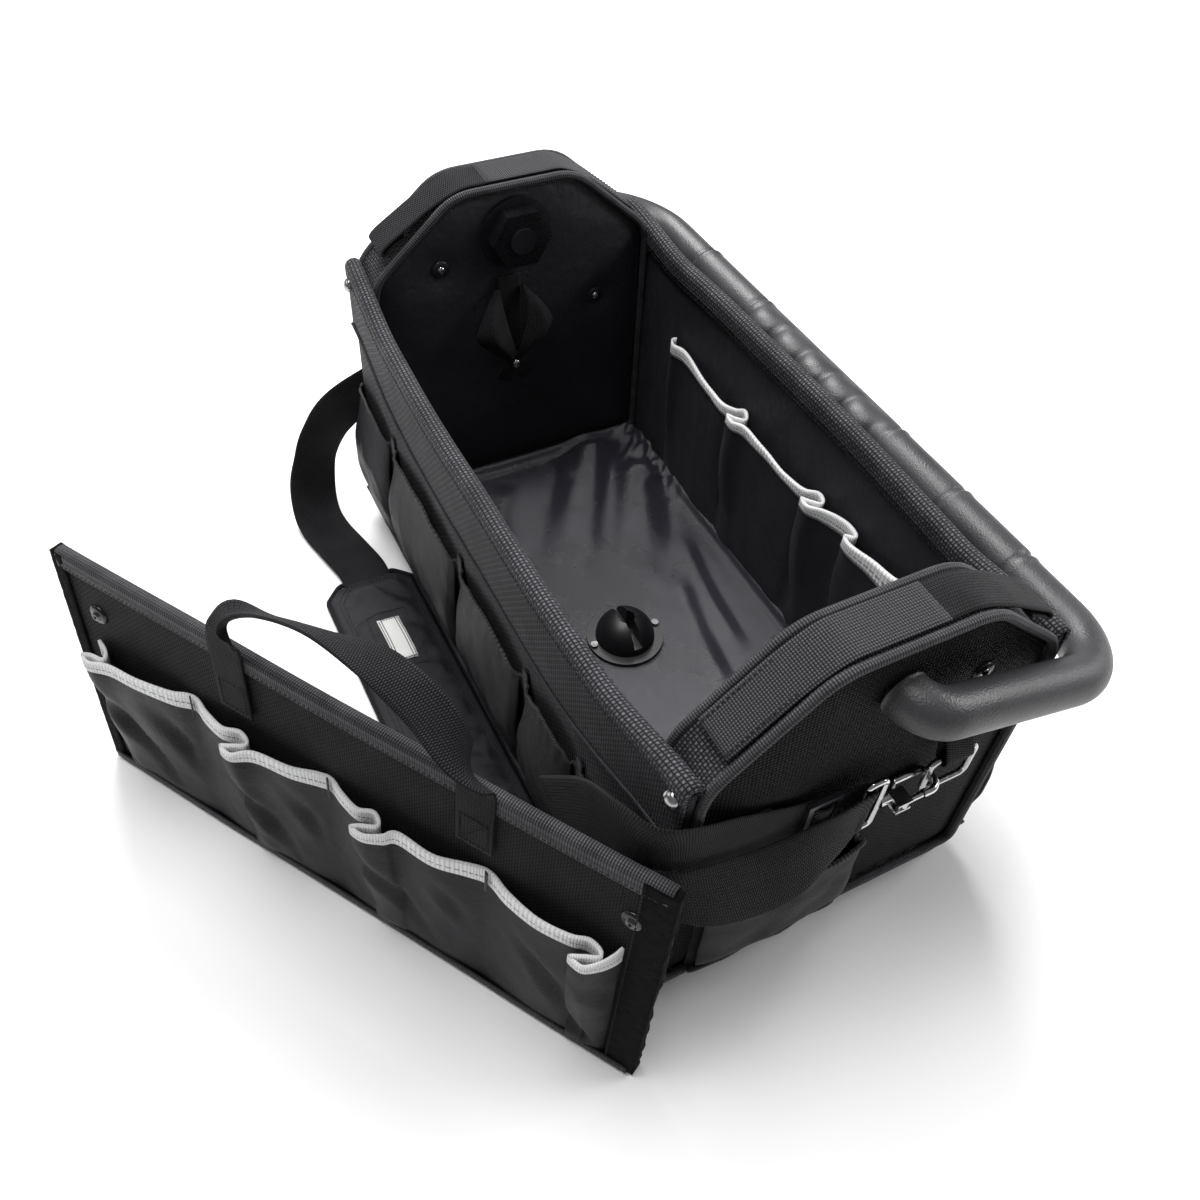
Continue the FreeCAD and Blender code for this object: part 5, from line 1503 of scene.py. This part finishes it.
def build_webbing():
    """The strap's two lengths and the tail beyond the slider: (place, direction across)."""
    x, _, up = HOOK
    x0, x1, y0, y1 = PAD
    middle = (y0 + y1) / 2
    far_run = hook_turn(-1) + [
        ((-x - 3.4, -14, up), Z), ((-x - 1, -34, 157), Z), ((-x, -66, 141), Z), ((-x - 1, -100, 121), Z),
        ((-265, -134, 104), (0, -0.1, 1)), ((-271, -154, 78), (0.1, -0.35, 0.9)),
        ((-274, -166, 50), (0.1, -0.65, 0.7)), ((-268, -174, 25), (-0.1, -1, 0.35)),
        ((-252, -178, 9), (0, -1, 0.1)), ((-232, -177, 3.5), -Y), ((-204, -171, 3.5), -Y),
        ((x0 - 12, middle, 3.5), -Y), ((x0 + 6, middle, 4.0), -Y)]
    near_run = hook_turn(1) + [
        ((x + 3.6, -14, up), Z), ((x + 6, -34, 157), (-0.25, 0, 1)), ((x + 9, -58, 153), (-0.5, 0, 0.86)),
        ((x + 9, -86, 156), (-0.5, 0, 0.86)), ((x + 6, -114, 164), (-0.35, 0, 0.9)),
        ((256, -135, 166), Z), ((238, -144, 154), (0.3, 0, 1)), ((224, -148, 130), (0.8, 0, 0.6)),
        ((216, -151, 96), (1, 0, 0.25)), ((213, -154, 58), X), ((212, -157, 30), (1, 0.5, 0)),
        ((204, -163, 14), (0.1, 1, 0)), ((x1 + 11, middle - 1, 4), Y), ((x1 - 6, middle, 4.0), Y)]
    tail = [((256, -24, 164), Z), ((256, -46, 169), Z), ((256, -66, 175), Z), ((256.5, -92, 187), Z),
            ((256.5, -118, 198), Z), ((250, -136, 202), Z), ((232, -144, 198), (-0.25, 0, 1)),
            ((209, -146, 180), (-0.6, 0, 0.8)), ((188, -147, 153), (-0.78, 0, 0.63)),
            ((170, -147, 127), (-0.78, 0, 0.63)), ((158, -147, 110), (-0.78, 0, 0.63))]
    piece("webbing_far_sewn", *webbing(far_run), WEBBING, ["webbing_far"], "webbing")
    piece("webbing_near_sewn", *webbing(near_run), WEBBING, ["webbing_near"], "webbing")
    threaded = webbing([((wrap_x, wrap_y, SLIDER_UP), Z) for wrap_x, wrap_y in SLIDER_WRAP],
                       38, 1.6, 5, 0.0)
    piece("webbing_tail_sewn", *join([webbing(tail), threaded]), WEBBING, ["webbing_tail"], "webbing")


def build_ring_tabs():
    tabs = []
    for sign, lift in ((1, 16), (-1, 12)):
        top = HOOK[2] + lift
        stations = [(1.4, top + 36), (1.6, top + 22), (7, top + 6), (8.6, top - 2.5), (12, top - 3.8),
                    (15.4, top - 2.5), (15.2, top + 4), (4.8, top + 26), (3.8, top + 36)]
        run = [((sign * (HALF + out), HOOK[1] + 61, up), Y) for out, up in stations]
        tabs.append(strap(run, 20, 1.6, 6))
    piece("ring_tabs_sewn", *join(tabs), WEBBING, ["ring_tabs"], "webbing")


# ---------------------------------------------------------------- hard parts kept from the frame
def finish_hard(name, material, bevel=0.0):
    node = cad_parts[name]
    node.data.materials.clear()
    node.data.materials.append(material)
    if bevel:
        soft = node.modifiers.new("soft_edges", "BEVEL")
        soft.width = bevel * MM
        soft.segments = 3
        soft.limit_method = "ANGLE"
        soft.angle_limit = math.radians(40)
        soft.harden_normals = True


HARD = {
    "dome_socket": (DOME_PLASTIC, 0.9), "dome_screws": (DARK_METAL, 0.4),
    "floor_board": (HANDLE_PLASTIC, 0.5), "handle_spindles": (SOFT_GLOSS, 1.0),
    "strap_rings": (NICKEL, 0), "strap_slider": (SOFT_GLOSS, 0.6),
}
for end in ENDS:
    HARD["pivot_nut_" + end] = (GLOSS, 0.9)
    HARD["pivot_washer_" + end] = (SOFT_GLOSS, 0.8)
    HARD["snap_hook_" + end] = HARD["hook_gate_" + end] = (CHROME, 0.3)


def build_all():
    elastics = []
    for side in WALLS:
        build_wall(side)
        build_outer_pockets(side)
        elastics.append(build_inner_pockets(side))
    piece("inner_elastics_sewn", *join(elastics), ELASTIC, ["inner_elastics"], "pale_elastic")
    build_base()
    build_floor()
    for which in ENDS:
        build_end(which)
        build_top_webbing(which)
        build_end_pocket(which)
    build_rivets()
    build_tool_loop()
    build_handle()
    build_divider()
    build_pad()
    build_webbing()
    build_ring_tabs()
    for name, (material, bevel) in HARD.items():
        finish_hard(name, material, bevel)


build_all()


# ---------------------------------------------------------------- floor, light and camera
def stage_paint():
    p = Paint("stage_floor", 0.7, specular=0.2)
    fleck = p.noise(3.0, 2.0)
    return p.finish(p.ramp(fleck, [(0.3, (0.86, 0.86, 0.865)), (0.7, (0.9, 0.9, 0.9))]))


GROUND = 6000
corners = [(GROUND * x, GROUND * y, -0.5) for x, y in ((-1, -1), (1, -1), (1, 1), (-1, 1))]
ground = mesh_of("ground", corners, [(0, 1, 2, 3)])
ground.materials.append(stage_paint())
shown("ground", ground)

world = bpy.data.worlds.new("studio")
world.use_nodes = True
world.node_tree.nodes["Background"].inputs[0].default_value = (1.0, 1.0, 1.0, 1)
world.node_tree.nodes["Background"].inputs[1].default_value = 0.2
bpy.context.scene.world = world


def lamp(name, where, target, size, power):
    light = bpy.data.lights.new(name, "AREA")
    light.shape = "RECTANGLE"
    light.size, light.size_y = size
    light.energy = power
    made = shown(name, light)
    made.location = where
    made.rotation_euler = (Vector(target) - Vector(where)).to_track_quat("-Z", "Y").to_euler()


lamp("key", (-1.8, 0.45, 1.9), (0, 0, 0.1), (1.2, 0.9), 66)
lamp("overhead", (-0.3, -0.3, 2.3), (0, -0.1, 0.1), (1.5, 1.2), 55)
lamp("rim", (0.5, 1.9, 1.3), (0, 0, 0.2), (1.2, 0.6), 24)
lamp("side", (-1.4, -1.7, 1.2), (0, -0.1, 0.1), (1.2, 0.9), 5)

camera = bpy.data.cameras.new("camera")
camera.lens, camera.sensor_width = 32.61, 36.0
camera.clip_start = 0.01
eye = shown("camera", camera)
azimuth, elevation, roll = (math.radians(v) for v in (59.82, 48.56, 4.03))
back = Vector((math.sin(azimuth) * math.cos(elevation), -math.cos(azimuth) * math.cos(elevation),
               math.sin(elevation)))
right = (-back).cross(Z).normalized()
above = right.cross(-back)
axes = (math.cos(roll) * right + math.sin(roll) * above,
        math.cos(roll) * above - math.sin(roll) * right, back)
eye.matrix_world = Matrix.Translation((0.46139, -0.29945, 0.68422)) @ Matrix(axes).transposed().to_4x4()
bpy.context.scene.camera = eye

bpy.context.scene.view_settings.view_transform = "Standard"
